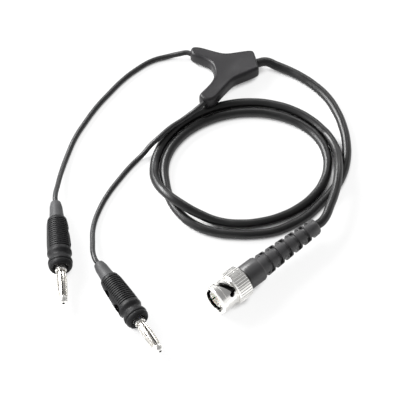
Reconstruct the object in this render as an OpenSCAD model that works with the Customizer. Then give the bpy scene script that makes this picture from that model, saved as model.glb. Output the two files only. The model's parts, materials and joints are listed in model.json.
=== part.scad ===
// Adapter lead: a BNC cable plug on a coiled coaxial cable, a Y junction,
// and two single-core leads that end in stackable 4 mm banana plugs.
// All of it lies on a flat surface at z = 0.

/* [Cables] */
// Outer diameter of the coaxial cable
coax_d = 3.9; // [3.7:0.1:4.1]
// Diameter of the coaxial cable's inner insulation
coax_insulation_d = 2.4; // [2.2:0.1:2.6]
// Diameter of the coaxial cable's stranded inner conductor
coax_core_d = 0.9; // [0.8:0.1:1]
// Outer diameter of each single-core lead
lead_d = 2.2; // [2:0.1:2.4]
// Diameter of the stranded conductor in each lead
lead_core_d = 1.1; // [1:0.1:1.2]

/* [BNC coupling nut] */
// Length of the coupling nut along its axis
nut_l = 15.7; // [15.5:0.1:16]
// Diameter of the knurled ring
knurl_d = 14.5; // [14.2:0.1:15]
// Length of the knurled ring
knurl_l = 7.2; // [6.8:0.1:7.6]
// Number of grooves in the knurled ring
knurl_grooves = 36; // [30:2:40]
// Diameter of the front rim
rim_d = 13.2; // [13:0.1:13.6]
// Length of the front rim
rim_l = 2.7; // [2.5:0.1:2.9]
// Diameter of the barrel between rim and knurled ring
nut_barrel_d = 12.4; // [12.2:0.1:12.8]
// Bore that takes the barrel of a BNC socket
nut_bore_d = 9.8; // [9.75:0.05:9.9]
// Width of each bayonet slot
bayonet_slot_w = 2.1; // [2:0.1:2.3]
// Turn of each bayonet slot round the nut, in degrees
bayonet_turn = 77; // [70:1:80]
// Free length of the wave spring, which the nut's travel shortens by up to 1 mm
spring_space = 3; // [2.8:0.1:3.1]

/* [BNC plug body] */
// Outer diameter of the slotted outer contact
outer_contact_d = 8.1; // [8.05:0.05:8.15]
// Inner diameter of the slotted outer contact
outer_contact_bore_d = 7; // [6.9:0.1:7.1]
// Distance of the outer contact behind the nut's rim
outer_contact_recess = 0.9; // [0.8:0.1:1.2]
// Number of slots in the outer contact
outer_contact_slots = 4; // [3:1:6]
// Diameter of the opening in the front insulator
insulator_opening_d = 4.85; // [4.8:0.05:4.95]
// Diameter of the centre pin's tip
centre_pin_d = 1.35; // [1.32:0.01:1.37]
// Diameter of the body's flange inside the nut
flange_d = 11; // [10.8:0.1:11]
// Diameter of the body behind the flange
body_d = 8.6; // [8.5:0.1:8.7]
// Radial running clearance between sliding pieces
running_gap = 0.06; // [0.04:0.01:0.08]

/* [BNC boot] */
// Diameter of the boot's smooth front
boot_d = 11.1; // [10.9:0.1:11.4]
// Diameter of the boot's rear end
boot_end_d = 7.3; // [7.1:0.1:7.6]
// Total length of the plug from the nut's rim to the boot's end
plug_l = 57; // [56:0.5:58]
// Length of the boot's smooth front
boot_smooth_l = 8.6; // [8:0.1:8.9]
// Width of each slot across the boot
boot_slot_w = 1.5; // [1.3:0.1:1.6]
// Number of pairs of slots, each turned a quarter from the last
boot_slot_pairs = 12; // [8:1:12]
// Arc of each slot, in degrees
boot_slot_arc = 146; // [135:1:150]

/* [Banana plug] */
// Length of a banana plug from the sleeve's end to the pin's tip
banana_l = 51.6; // [51:0.1:52.4]
// Length of the visible tail sleeve
sleeve_l = 8.6; // [8.2:0.1:9]
// Diameter of the tail sleeve where the lead enters
sleeve_end_d = 4.4; // [4.2:0.1:4.6]
// Diameter of the tail sleeve where it meets the grip
sleeve_front_d = 6.4; // [6.2:0.1:6.6]
// Diameter of the grip where it meets the tail sleeve
grip_rear_d = 8; // [7.8:0.1:8.4]
// Largest diameter of the grip
grip_d = 10.6; // [10.4:0.1:11]
// Distance between the ribs of the grip
rib_pitch = 1.4; // [1.3:0.05:1.5]
// Number of grooves between the ribs
rib_grooves = 10; // [8:1:10]
// Diameter of the waist behind the front collar
waist_d = 9.1; // [8.9:0.1:9.4]
// Diameter of the front collar
collar_d = 10.5; // [10.3:0.1:10.6]
// Length of the plug's insulation, from the sleeve's end to the collar's front edge
collar_to = 34; // [33.6:0.1:34.4]
// Diameter of the opening in the collar's front
collar_opening_d = 8; // [7.8:0.1:8.2]
// Diameter of the metal crown behind the sprung cage
crown_d = 4.9; // [4.7:0.1:5.1]
// Bore of the stacking socket in the side of the plug
socket_d = 4; // [3.95:0.05:4.1]
// Diameter of the pin's rounded tip
banana_pin_d = 3.9; // [3.8:0.05:3.95]
// Largest diameter of the sprung cage on the pin
cage_d = 4.5; // [4.4:0.05:4.7]
// Number of slits in the sprung cage
cage_slits = 8; // [6:1:8]
// Diameter of the clamp screw
clamp_screw_d = 3; // [2.8:0.1:3.2]

/* [Junction] */
// Thickness of the junction housing
junction_t = 5.8; // [5.6:0.1:6.2]
// Width of the rounding round the housing's faces, as a share of its full size
junction_rounding = 1; // [0.8:0.05:1]
// Tilt of the junction, whose ground arm lies on the coil
junction_tilt = 8.7; // [8.6:0.1:9.2]

/* [Coil] */
// Half width of the inner loop of the coil
coil_a = 34.1; // [33.8:0.1:34.6]
// Half depth of the inner loop of the coil
coil_b = 28.5; // [28.2:0.1:29]
// Distance of the outer loop from the inner one
coil_step = 4.35; // [4.35:0.05:4.6]
// Distance of the first half turn from the inner loop
coil_first_step = 6.2; // [6:0.1:6.5]

/* [Hidden] */
$fn = 48;
eps = 0.01;

// The bench grid is shifted so that the part's origin is the middle of its footprint.
home = [6.84, 2.83];
bnc_at = [6.1, -56.5];
bnc_turn = 42;
signal_plug_at = [-60.6, -4.9];
signal_plug_turn = -86;
ground_plug_at = [-42.6, -36.2];
ground_plug_turn = -59.6;
bnc_axis_h = knurl_d / 2;
banana_axis_h = grip_d / 2;
coax_r = coax_d / 2;
lead_r = lead_d / 2;

// ---- Stations of the BNC plug, measured from the nut's rim ----
gasket_l = 1;
flange_l = 1.1;
flange_front = 9.2;
flange_rear = flange_front + flange_l;
nut_chamber_d = flange_d + 2 * running_gap;
ring_t = 0.8;
ring_from = flange_rear + spring_space + 0.8;
ring_d = nut_chamber_d + 0.8;
washer_t = 0.7;
washer_from = ring_from - running_gap - washer_t;
spring_from = flange_rear + 0.02;
spring_to = washer_from - 0.02;
contact_shoulder = 8.2;
contact_spigot_d = 7.4;
contact_spigot_bore_d = 6;
contact_spigot_to = 13;
insulator_from = 2.6;
insulator_floor = 7.2;
pin_tip = 1.7;
pin_collar_from = insulator_floor - 0.1;
pin_collar_d = 2.2;
pin_to = 12.6;
rear_insulator_to = 12.9;
body_to = nut_l + 0.75;
boot_seat_d = 8.2;
boot_seat_to = body_to + 4;
crimp_post_d = 3.4;
crimp_post_bore_d = coax_insulation_d + 0.1;
crimp_post_to = boot_seat_to + 5;
ferrule_bore_d = coax_d;
ferrule_d = coax_d + 1.5;
ferrule_from = boot_seat_to + 0.2;
ferrule_to = crimp_post_to + 3;
boot_from = body_to + 0.1;
boot_smooth_to = boot_from + boot_smooth_l;
boot_tail_l = 1.6;
boot_slot_step = (plug_l - boot_tail_l - boot_smooth_to) / boot_slot_pairs;
boot_cable_bore_d = coax_d + 0.1;

// ---- Stations of a banana plug, measured from the tail sleeve's end ----
grip_from = sleeve_l;
smooth_from = 25.7;
waist_at = collar_to - 5.4;
collar_crest_at = collar_to - 3.2;
ribs_from = grip_from + 2.2;
socket_at = 24.3;
clamp_at = 15.6;
sleeve_tongue_l = 2.6;
sleeve_tongue_d = sleeve_front_d - 1.2;
shank_d = 6.8;
shank_from = sleeve_l + sleeve_tongue_l + 0.2;
shank_to = collar_to - 2.4;
recess_d = 5.8;
recess_from = shank_to - 0.3;
crown_to = collar_to + 1.3;
pin_core_d = 2.8;
tip_l = 2.7;
tip_from = banana_l - tip_l;
tip_hole_d = 1.1;
socket_depth = 5.6;
socket_mouth_d = socket_d + 0.9;
clamp_head_d = clamp_screw_d + 1;
lead_hole_to = clamp_at + clamp_screw_d / 2 + 0.5;

// ---- Junction ----
junction_far = 73.3;
hub_at = [12.6, 64.8];
coax_root = hub_at;
signal_root = [11, 67];
ground_root = [14.4, 63.6];
coax_arm_at = [24, 67.4];
signal_arm_at = [-4, 73];
ground_arm_at = [2.9, 46];
shell_gap = 0.02;
pocket_d = 7.2;
splice_d = 2.6;

// Outline of the housing where its shells meet, from the signal arm round the coaxial arm.
junction_outline = [[-3.8, 74.3], [-2.6, 75], [0.2, 74.8], [5, 72.8], [9.8, 71], [12.6, 71.2], [17.4, 72.3],
                    [21.4, 73], [22.7, 72.4], [23.2, 71], [24.9, 63.4], [24.9, 62.3], [24.2, 61.3],
                    [19.4, 58.6], [14.6, 56], [13.2, 54.4], [8.1, 46.9], [6.7, 44.4], [4.2, 43], [2, 43.4],
                    [-0.2, 45.4], [-0.7, 46.8], [2.7, 51], [5, 54.5], [5.9, 57.5], [5.9, 60.5],
                    [5.4, 63.6], [4.1, 66], [0.6, 68.2], [-2.5, 69.3], [-4.4, 71.2]];
// The rounded edge, as steps of [part of the half thickness, inset].
edge_steps = [[0.46, 0], [0.78, 0.35], [0.94, 0.8], [1, 1.25]];

function unit(v) = v / norm(v);
function heading(a, b) = atan2(b[1] - a[1], b[0] - a[0]);
function blend(x, a, b) = let (t = max(0, min(1, (x - a) / (b - a)))) t * t * (3 - 2 * t);
function hump(x, middle, reach) = abs(x - middle) > reach
    ? 0
    : 0.5 + 0.5 * cos(180 * (x - middle) / reach);

// A point of the tilted junction, given by its place on the bench and its height in the housing.
function on_junction(p, h = junction_t / 2) = let (y = p[1] - junction_far)
    [p[0] + home[0],
     junction_far + home[1] + y * cos(junction_tilt) + h * sin(junction_tilt),
     h * cos(junction_tilt) - y * sin(junction_tilt)];

// ---- Routes of the cables ----
// Each route point is [x, y, lift] on the bench, where lift is the gap under the cable.
lead_in_route = [[32, 67.3, 0.6], [37, 65.1, 0], [42.2, 61.9, 0], [47.6, 58.2, 0], [53.2, 52, 0],
                 [57.4, 44.4, 0], [60.2, 36.2, 0], [61.6, 28, 0], [61.5, 19.4, 0], [59.6, 11, 0],
                 [56, 3.8, 0], [51, -2.8, 0], [44.8, -9.7, 0], [38, -14.5, 0], [31.6, -17.7, 0]];
lead_out_route = [[57.5, 22.5, 1.7], [58.2, 15.6, 3.6], [57.8, 8, 4.6], [56.6, 0.4, 4.9],
                  [54.6, -7, 5.2]];
signal_route = [[-8.6, 73.8, 1.2], [-13.4, 73.2, 0.2], [-19.9, 71.2, 0], [-26.5, 66.7, 0], [-32.7, 60.9, 0],
                [-38.3, 54.1, 0], [-43.6, 47, 0], [-48.3, 39.2, 0], [-52.5, 31.2, 0],
                [-55.6, 22.6, 0], [-58.1, 13.6, 0.8], [-59.7, 5.4, 2.4]];
ground_route = [[-6.9, 37.6, 4.6], [-12.3, 33.4, 4.4], [-17.4, 28.2, 4.1], [-20.6, 25.6, 2.8],
                [-23.9, 22.3, 0.8], [-28.8, 17, 0], [-34, 9.6, 0], [-38.6, 2.2, 0],
                [-42.3, -6, 0.1], [-44.6, -14.4, 0.6], [-45, -23, 1.9]];

// The coil: phi runs clockwise, seen from above, from the right-hand side of the loops.
coil_centre = [19.15, 15.3];
coil_lean = 0.08;
coil_from = 90;
coil_to = 684;
coil_rings_per_loop = 24;
first_step_from = 108;
first_step_to = 172;
second_step_from = 466;
second_step_to = 530;
spread_from = 548;
spread_to = 625;
coil_spread = 0.6;
crossing_at = 503;
crossing_reach = 44;
crossing_rise = coax_d + 0.75;

function coil_out(phi) = coil_first_step * (1 - blend(phi, first_step_from, first_step_to))
                         + coil_step * blend(phi, second_step_from, second_step_to)
                         + coil_spread * blend(phi, spread_from, spread_to);
function coil_rise(phi) = crossing_rise * hump(phi, crossing_at, crossing_reach);
function coil_ellipse(phi) = [coil_a * cos(phi) - coil_lean * coil_b * sin(phi), -coil_b * sin(phi)];
function coil_normal(phi) = unit([cos(phi) / coil_a, -sin(phi) / coil_b]);
function coil_point(phi) = let (e = coil_ellipse(phi), n = coil_normal(phi), k = coil_out(phi))
    [coil_centre[0] + home[0] + e[0] + n[0] * k,
     coil_centre[1] + home[1] + e[1] + n[1] * k,
     coax_r + coil_rise(phi)];
function coil_way(phi) = unit(coil_point(phi + 0.5) - coil_point(phi - 0.5));
coil_step_angle = 360 / coil_rings_per_loop;
coil_start = coil_point(coil_from) - coax_d * coil_way(coil_from);
coil_end = coil_point(coil_to) + coax_d * coil_way(coil_to);
coil_path = concat([coil_start],
                   [for (phi = [coil_from : coil_step_angle : coil_to - coil_step_angle / 2])
                    coil_point(phi)],
                   [coil_point(coil_to), coil_end]);

// Least gap of the coil to itself, measured on points half a loop or more apart.
gap_probe = 3;
coil_gap = min([for (a = [coil_from : gap_probe : coil_to - 180])
                for (b = [a + 180 : gap_probe : coil_to])
                norm(coil_point(a) - coil_point(b))]) - coax_d;
echo(least_gap_of_the_coil_to_itself = coil_gap);

function rise_to(p, r) = [p[0] + home[0], p[1] + home[1], p[2] + r];
function on_bench(route, r) = [for (p = route) rise_to(p, r)];

// Where each cable leaves the solid pieces, and the point one step further on.
boot_exit = [bnc_at[0] + home[0] + plug_l * cos(bnc_turn),
             bnc_at[1] + home[1] + plug_l * sin(bnc_turn), bnc_axis_h];
boot_way = [cos(bnc_turn), sin(bnc_turn), 0];
function arm_exit(p) = on_junction(p);
function arm_way(p, root) = unit(on_junction(p) - on_junction(root));
function plug_exit(at) = [at[0] + home[0], at[1] + home[1], banana_axis_h];
function plug_way(turn) = [cos(turn), sin(turn), 0];

lead_in_path = concat([arm_exit(coax_arm_at),
                       arm_exit(coax_arm_at) + coax_d * arm_way(coax_arm_at, coax_root)],
                      on_bench(lead_in_route, coax_r),
                      [coil_start - 1.5 * coax_d * coil_way(coil_from), coil_start]);
lead_out_path = concat([coil_end, coil_end + 0.8 * coax_d * coil_way(coil_to)],
                       on_bench(lead_out_route, coax_r),
                       [boot_exit + coax_d * boot_way, boot_exit]);
signal_path = concat([arm_exit(signal_arm_at),
                      arm_exit(signal_arm_at) + 0.7 * lead_d * arm_way(signal_arm_at, signal_root)],
                     on_bench(signal_route, lead_r),
                     [plug_exit(signal_plug_at) - 1.2 * lead_d * plug_way(signal_plug_turn),
                      plug_exit(signal_plug_at)]);
ground_path = concat([arm_exit(ground_arm_at),
                      arm_exit(ground_arm_at) + 1.2 * lead_d * arm_way(ground_arm_at, ground_root)],
                     on_bench(ground_route, lead_r),
                     [plug_exit(ground_plug_at) - 1.2 * lead_d * plug_way(ground_plug_turn),
                      plug_exit(ground_plug_at)]);

// ---- Swept tubes ----
function spline(a, b, c, d, t) = 0.5 * (2 * b + (c - a) * t + (2 * a - 5 * b + 4 * c - d) * t * t
                                        + (3 * b - a - 3 * c + d) * t * t * t);
// The first and last stretches stay straight; those between them are split on a smooth curve.
function refined(p, parts) = let (n = len(p))
    concat([p[0]],
           [for (i = [1 : n - 3]) for (k = [0 : parts - 1])
            spline(p[i - 1], p[i], p[i + 1], p[i + 2], k / parts)],
           [p[n - 2], p[n - 1]]);
function way_at(path, i) = let (n = len(path))
    i == 0 ? unit(path[1] - path[0])
  : i == n - 1 ? unit(path[n - 1] - path[n - 2])
  : unit(path[i + 1] - path[i - 1]);
function ring_at(path, i, r, sides) =
    let (w = way_at(path, i), s = unit(cross(w, [0, 0, 1])), u = cross(s, w))
    [for (k = [0 : sides - 1]) let (a = 360 * (k + 0.5) / sides)
     path[i] + r * (cos(a) * s + sin(a) * u)];

module tube(path, r, sides) {
    rings = len(path);
    last = (rings - 1) * sides;
    points = [for (i = [0 : rings - 1]) each ring_at(path, i, r, sides)];
    wall = [for (i = [0 : rings - 2]) for (k = [0 : sides - 1])
            let (a = i * sides + k, b = i * sides + (k + 1) % sides)
            each [[a, b, b + sides], [a, b + sides, a + sides]]];
    start_cap = [for (k = [1 : sides - 2]) [0, k + 1, k]];
    end_cap = [for (k = [1 : sides - 2]) [last, last + k, last + k + 1]];
    polyhedron(points = points, faces = concat(wall, start_cap, end_cap), convexity = 6);
}

// ---- Places of the assemblies ----
module on_bnc_axis() {
    translate([bnc_at[0] + home[0], bnc_at[1] + home[1], bnc_axis_h])
        rotate([0, 0, bnc_turn])
            rotate([0, 90, 0])
                children();
}

module on_banana_axis(at, turn) {
    translate([at[0] + home[0], at[1] + home[1], banana_axis_h])
        rotate([0, 0, turn])
            rotate([0, 90, 0])
                children();
}

// A solid or a ring between two stations.
module rod(d, from, to) {
    translate([0, 0, from]) cylinder(d = d, h = to - from);
}

module ring(d, bore, from, to) {
    difference() {
        rod(d, from, to);
        rod(bore, from - 1, to + 1);
    }
}

// ---- BNC coupling nut ----
nut_groove_depth = 0.4;
nut_chamfer = 0.6;
bayonet_from_angle = 140;
bayonet_front = 3.1;
bayonet_lead = 4.1;
bayonet_steps = 12;
bayonet_in_r = nut_bore_d / 2 - 0.4;
bayonet_out_r = knurl_d / 2;
bayonet_mid_r = (nut_bore_d + nut_barrel_d) / 4;
bayonet_pitch_angle = atan(bayonet_lead / (bayonet_mid_r * bayonet_turn * PI / 180));
detent_back = 1.5;
detent_turn = 12;
entry_depth = 0.65;

module nut_profile() {
    barrel_r = nut_barrel_d / 2;
    knurl_from = nut_l - knurl_l;
    rotate_extrude($fn = 96)
        polygon([[nut_bore_d / 2, 0], [rim_d / 2 - 0.3, 0], [rim_d / 2, 0.3], [rim_d / 2, rim_l - 0.3],
                 [rim_d / 2 - 0.3, rim_l], [barrel_r, rim_l], [barrel_r, knurl_from - 1.5],
                 [barrel_r - nut_groove_depth, knurl_from - 1.3],
                 [barrel_r - nut_groove_depth, knurl_from - 0.9],
                 [barrel_r, knurl_from - 0.7], [barrel_r, knurl_from - 0.5],
                 [barrel_r - nut_groove_depth, knurl_from - 0.3], [barrel_r - nut_groove_depth, knurl_from],
                 [knurl_d / 2 - nut_chamfer, knurl_from], [knurl_d / 2, knurl_from + nut_chamfer],
                 [knurl_d / 2, nut_l - nut_chamfer], [knurl_d / 2 - nut_chamfer, nut_l],
                 [nut_chamber_d / 2, nut_l], [nut_chamber_d / 2, flange_front - 0.2],
                 [nut_bore_d / 2, flange_front - 0.2]]);
}

// The helical part of a bayonet slot, as a band swept round the nut.
module bayonet_band(start) {
    side = bayonet_slot_w / 2;
    turn_side = side * sin(bayonet_pitch_angle) / bayonet_mid_r * 180 / PI;
    rise_side = side * cos(bayonet_pitch_angle);
    points = [for (i = [0 : bayonet_steps])
              let (a = start + bayonet_turn * i / bayonet_steps,
                   s = bayonet_front + bayonet_lead * i / bayonet_steps)
              for (c = [[bayonet_in_r, -1], [bayonet_out_r, -1], [bayonet_out_r, 1], [bayonet_in_r, 1]])
              [c[0] * cos(a - c[1] * turn_side), c[0] * sin(a - c[1] * turn_side), s + c[1] * rise_side]];
    wall = [for (i = [0 : bayonet_steps - 1]) for (k = [0 : 3])
            let (a = 4 * i + k, b = 4 * i + (k + 1) % 4)
            each [[a, b, b + 4], [a, b + 4, a + 4]]];
    last = 4 * bayonet_steps;
    polyhedron(points = points,
               faces = concat(wall, [[0, 2, 1], [0, 3, 2],
                                     [last, last + 1, last + 2], [last, last + 2, last + 3]]),
               convexity = 4);
}

// A round hole through the nut's wall, square to its axis.
module wall_hole(angle, station, d) {
    rotate([0, 0, angle])
        translate([bayonet_in_r, 0, station])
            rotate([0, 90, 0])
                cylinder(d = d, h = bayonet_out_r - bayonet_in_r, $fn = 24);
}

module bayonet_slot(start) {
    slot_end = start + bayonet_turn;
    slot_back = bayonet_front + bayonet_lead;
    detent_at = slot_end + detent_turn;
    bayonet_band(start);
    wall_hole(start, bayonet_front, bayonet_slot_w);
    wall_hole(slot_end, slot_back, bayonet_slot_w);
    wall_hole(detent_at, slot_back - detent_back, bayonet_slot_w + 0.1);
    wall_hole(slot_end + detent_turn / 2, slot_back - detent_back / 2, bayonet_slot_w);
    // Channel inside the rim through which the socket's stud enters.
    rotate([0, 0, start])
        translate([0, -bayonet_slot_w / 2, -1])
            cube([nut_bore_d / 2 + entry_depth, bayonet_slot_w, bayonet_front + 1]);
}

module bnc_coupling_nut() {
    color("gainsboro")
        on_bnc_axis()
            difference() {
                nut_profile();
                bayonet_slot(bayonet_from_angle);
                bayonet_slot(bayonet_from_angle + 180);
                ring(ring_d, 1, ring_from - 0.02, ring_from + ring_t + 0.02);
                for (i = [0 : knurl_grooves - 1])
                    rotate([0, 0, 360 * i / knurl_grooves])
                        translate([knurl_d / 2 + 0.25, 0, nut_l - knurl_l - 1])
                            cylinder(d = 0.9, h = knurl_l + 2, $fn = 16);
            }
}

module bnc_retaining_ring() {
    split_w = 1.2;
    color("silver")
        on_bnc_axis()
            difference() {
                ring(ring_d - 0.1, body_d + 4 * running_gap, ring_from, ring_from + ring_t);
                translate([-split_w / 2, 0, ring_from - 1])
                    cube([split_w, ring_d, ring_t + 2]);
            }
}

module bnc_thrust_washer() {
    color("silver")
        on_bnc_axis()
            ring(nut_chamber_d - 2 * running_gap, body_d + 2 * running_gap,
                 washer_from, washer_from + washer_t);
}

// A flat spring ring with three waves.
spring_waves = 3;
spring_t = 0.3;

module bnc_wave_spring() {
    steps = 48;
    in_r = body_d / 2 + 0.15;
    out_r = nut_chamber_d / 2 - 0.25;
    middle = (spring_from + spring_to - spring_t) / 2;
    swing = (spring_to - spring_from - spring_t) / 2;
    points = [for (i = [0 : steps - 1])
              let (a = 360 * i / steps, s = middle + swing * cos(spring_waves * a))
              each [[in_r * cos(a), in_r * sin(a), s], [out_r * cos(a), out_r * sin(a), s],
                    [out_r * cos(a), out_r * sin(a), s + spring_t],
                    [in_r * cos(a), in_r * sin(a), s + spring_t]]];
    faces = [for (i = [0 : steps - 1]) for (k = [0 : 3])
             let (a = 4 * i + k, b = 4 * i + (k + 1) % 4, c = 4 * ((i + 1) % steps) + k,
                  d = 4 * ((i + 1) % steps) + (k + 1) % 4)
             each [[a, b, d], [a, d, c]]];
    color("lightsteelblue")
        on_bnc_axis()
            polyhedron(points = points, faces = faces, convexity = 6);
}

module bnc_face_gasket() {
    color("orangered")
        on_bnc_axis()
            ring(nut_bore_d - 0.4, outer_contact_d, flange_front - gasket_l, flange_front);
}

// ---- BNC plug body and what it holds ----
module bnc_plug_body() {
    color("gainsboro")
        on_bnc_axis()
            difference() {
                union() {
                    rod(flange_d, flange_front, flange_rear);
                    rod(body_d, flange_front, body_to);
                    rod(boot_seat_d, body_to - 1, boot_seat_to);
                    rod(crimp_post_d, boot_seat_to - 1, crimp_post_to);
                }
                rod(contact_spigot_d, flange_front - 1, contact_spigot_to);
                rod(contact_spigot_bore_d, contact_spigot_to - 1, contact_spigot_to + 1);
                rod(crimp_post_bore_d, contact_spigot_to, crimp_post_to + 1);
            }
}

module bnc_outer_contact() {
    slot_w = 0.6;
    slot_to = insulator_floor - 0.4;
    color("whitesmoke")
        on_bnc_axis()
            difference() {
                union() {
                    rod(outer_contact_d, outer_contact_recess, flange_front);
                    rod(contact_spigot_d, flange_front - 1, contact_spigot_to);
                }
                rod(outer_contact_bore_d, 0, contact_shoulder);
                rod(contact_spigot_bore_d, contact_shoulder - 1, contact_spigot_to + 1);
                for (i = [0 : outer_contact_slots - 1])
                    rotate([0, 0, 360 * (i + 0.5) / outer_contact_slots])
                        translate([outer_contact_bore_d / 2 - 0.4, -slot_w / 2, 0])
                            cube([2, slot_w, slot_to]);
            }
}

module bnc_front_insulator() {
    color("ivory")
        on_bnc_axis()
            difference() {
                rod(outer_contact_bore_d - 0.05, insulator_from, contact_shoulder);
                rod(insulator_opening_d, insulator_from - 1, insulator_floor);
                rod(pin_collar_d + 0.05, insulator_floor - 1, contact_shoulder + 1);
            }
}

module bnc_rear_insulator() {
    color("ivory")
        on_bnc_axis()
            ring(contact_spigot_bore_d - 0.05, pin_collar_d + 0.05,
                 contact_shoulder + 0.02, rear_insulator_to);
}

module bnc_centre_pin() {
    tip_l = 0.6;
    color("gold")
        on_bnc_axis()
            difference() {
                union() {
                    rotate_extrude()
                        polygon([[0, pin_tip], [centre_pin_d / 4, pin_tip],
                                 [centre_pin_d / 2, pin_tip + tip_l],
                                 [centre_pin_d / 2, pin_collar_from + 0.1],
                                 [0, pin_collar_from + 0.1]]);
                    rod(pin_collar_d, pin_collar_from, pin_to);
                }
                rod(coax_core_d, pin_to - 3, pin_to + 1);
            }
}

module bnc_crimp_ferrule() {
    color("silver")
        on_bnc_axis()
            ring(ferrule_d, ferrule_bore_d, ferrule_from, ferrule_to);
}

// The cable's prepared end: core and inner insulation inside, jacket behind the crimp post.
module bnc_cable_end() {
    rod(coax_core_d, pin_to - 3, rear_insulator_to + 0.5);
    rod(coax_insulation_d, rear_insulator_to + 0.2, crimp_post_to + 0.5);
    rod(coax_d, crimp_post_to + 0.1, plug_l);
}

module coax_plug_end() {
    color("dimgray")
        on_bnc_axis()
            bnc_cable_end();
}

// ---- BNC boot: a smooth front, then pairs of slots turned a quarter from one another ----
function boot_r(s) = s < boot_smooth_to
    ? boot_d / 2
    : let (t = (s - boot_smooth_to) / (plug_l - boot_smooth_to))
      (boot_d - 0.7 - (boot_d - 0.7 - boot_end_d) * pow(t, 0.85)) / 2;
boot_floor_depth = 0.75;

module bnc_boot() {
    rear_from = boot_smooth_to + 0.1;
    rear_l = plug_l - 0.5 - rear_from;
    rear = [for (k = [0 : 8]) let (s = rear_from + rear_l * k / 8) [boot_r(s), s]];
    color("#2c2c2e")
        on_bnc_axis()
            difference() {
                rotate_extrude($fn = 64)
                    polygon(concat([[0, boot_from], [boot_d / 2 - 0.6, boot_from],
                                    [boot_d / 2 - 0.15, boot_from + 0.25],
                                    [boot_d / 2, boot_from + 0.7], [boot_d / 2, boot_smooth_to]],
                                   rear, [[boot_end_d / 2 - 0.4, plug_l], [0, plug_l]]));
                rod(boot_seat_d, boot_from - 1, boot_seat_to);
                rod(ferrule_d, boot_from, ferrule_to + 0.2);
                rod(boot_cable_bore_d, boot_from, plug_l + 1);
                for (i = [0 : boot_slot_pairs - 1])
                    for (side = [0, 180])
                        let (s = boot_smooth_to + boot_slot_step * (i + 0.2), r = boot_r(s + boot_slot_w / 2))
                        rotate([0, 0, side + 90 * (i % 2) - boot_slot_arc / 2 + 90])
                            rotate_extrude(angle = boot_slot_arc, $fn = 64)
                                translate([r - boot_floor_depth, s])
                                    square([boot_floor_depth + 1, boot_slot_w]);
            }
}

// ---- Banana plugs, along their own axis ----
rib_depth = 0.35;
rib_arc = 44;
grip_step = 0.12;

function grip_r(s) = lookup(s - grip_from, [[0.7, grip_rear_d / 2], [2.6, grip_rear_d / 2 + 0.5],
                                            [8, grip_d / 2 - 0.5], [12.6, grip_d / 2 - 0.2],
                                            [smooth_from - grip_from, grip_d / 2 - grip_step]]);

module tail_sleeve() {
    end_r = sleeve_end_d / 2;
    front_r = sleeve_front_d / 2;
    difference() {
        union() {
            rotate_extrude()
                polygon([[0, 0], [end_r - 0.5, 0], [end_r - 0.1, 0.3], [end_r + 0.1, 0.9],
                         [end_r + 0.5, 2.6], [front_r - 0.3, 5.6], [front_r, sleeve_l], [0, sleeve_l]]);
            rod(sleeve_tongue_d, sleeve_l - 1, sleeve_l + sleeve_tongue_l);
        }
        rod(lead_d + 0.1, -1, sleeve_l + sleeve_tongue_l + 1);
    }
}

// The grip, its waist and the rounded collar round the recess that the crown comes out of.
module grip_outline() {
    collar_r = collar_d / 2;
    waist_r = waist_d / 2;
    rotate_extrude($fn = 72)
        polygon([[0, grip_from], [grip_rear_d / 2 - 0.6, grip_from], [grip_rear_d / 2 - 0.2, grip_from + 0.2],
                 for (x = [0.7, 2.6, 8, 12.6]) [grip_r(grip_from + x), grip_from + x],
                 [grip_r(smooth_from), smooth_from - 0.1], [grip_d / 2, smooth_from + 0.1],
                 [grip_d / 2 - 0.05, smooth_from + 1], [waist_r + 0.2, waist_at - 0.9], [waist_r, waist_at],
                 [waist_r + 0.15, waist_at + 0.6], [collar_r - 0.2, waist_at + 1.4],
                 [collar_r, collar_crest_at],
                 [collar_r - 0.05, collar_crest_at + 0.5], [collar_r - 0.3, collar_crest_at + 0.65],
                 [collar_r - 0.3, collar_crest_at + 0.95], [collar_r - 0.15, collar_crest_at + 1.1],
                 [collar_r - 0.4, collar_to - 0.8], [collar_r - 0.8, collar_to - 0.15],
                 [collar_r - 1.05, collar_to], [0, collar_to]]);
}

// Grooves between the ribs, on the top and the underside.
module rib_cuts() {
    for (side = [0, 180])
        for (i = [0 : rib_grooves - 1])
            let (s = ribs_from + rib_pitch * i)
            rotate([0, 0, side - rib_arc / 2])
                rotate_extrude(angle = rib_arc, $fn = 72)
                    translate([grip_r(s) - rib_depth, s])
                        square([1, rib_pitch * 0.45]);
}

module grip() {
    difference() {
        grip_outline();
        rib_cuts();
        rod(sleeve_tongue_d, grip_from - 1, grip_from + sleeve_tongue_l + 0.1);
        rod(shank_d, grip_from + sleeve_tongue_l, shank_to);
        rod(recess_d, recess_from, collar_to + 1);
        translate([0, 0, collar_to - 1.1])
            cylinder(d1 = recess_d, d2 = collar_opening_d, h = 1.1 + eps);
        translate([0, 0, socket_at])
            rotate([-90, 0, 0])
                cylinder(d = socket_mouth_d, h = grip_d);
        translate([0, 0, clamp_at])
            rotate([-90, 0, 0])
                cylinder(d = clamp_head_d + 0.2, h = grip_d);
    }
}

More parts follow.
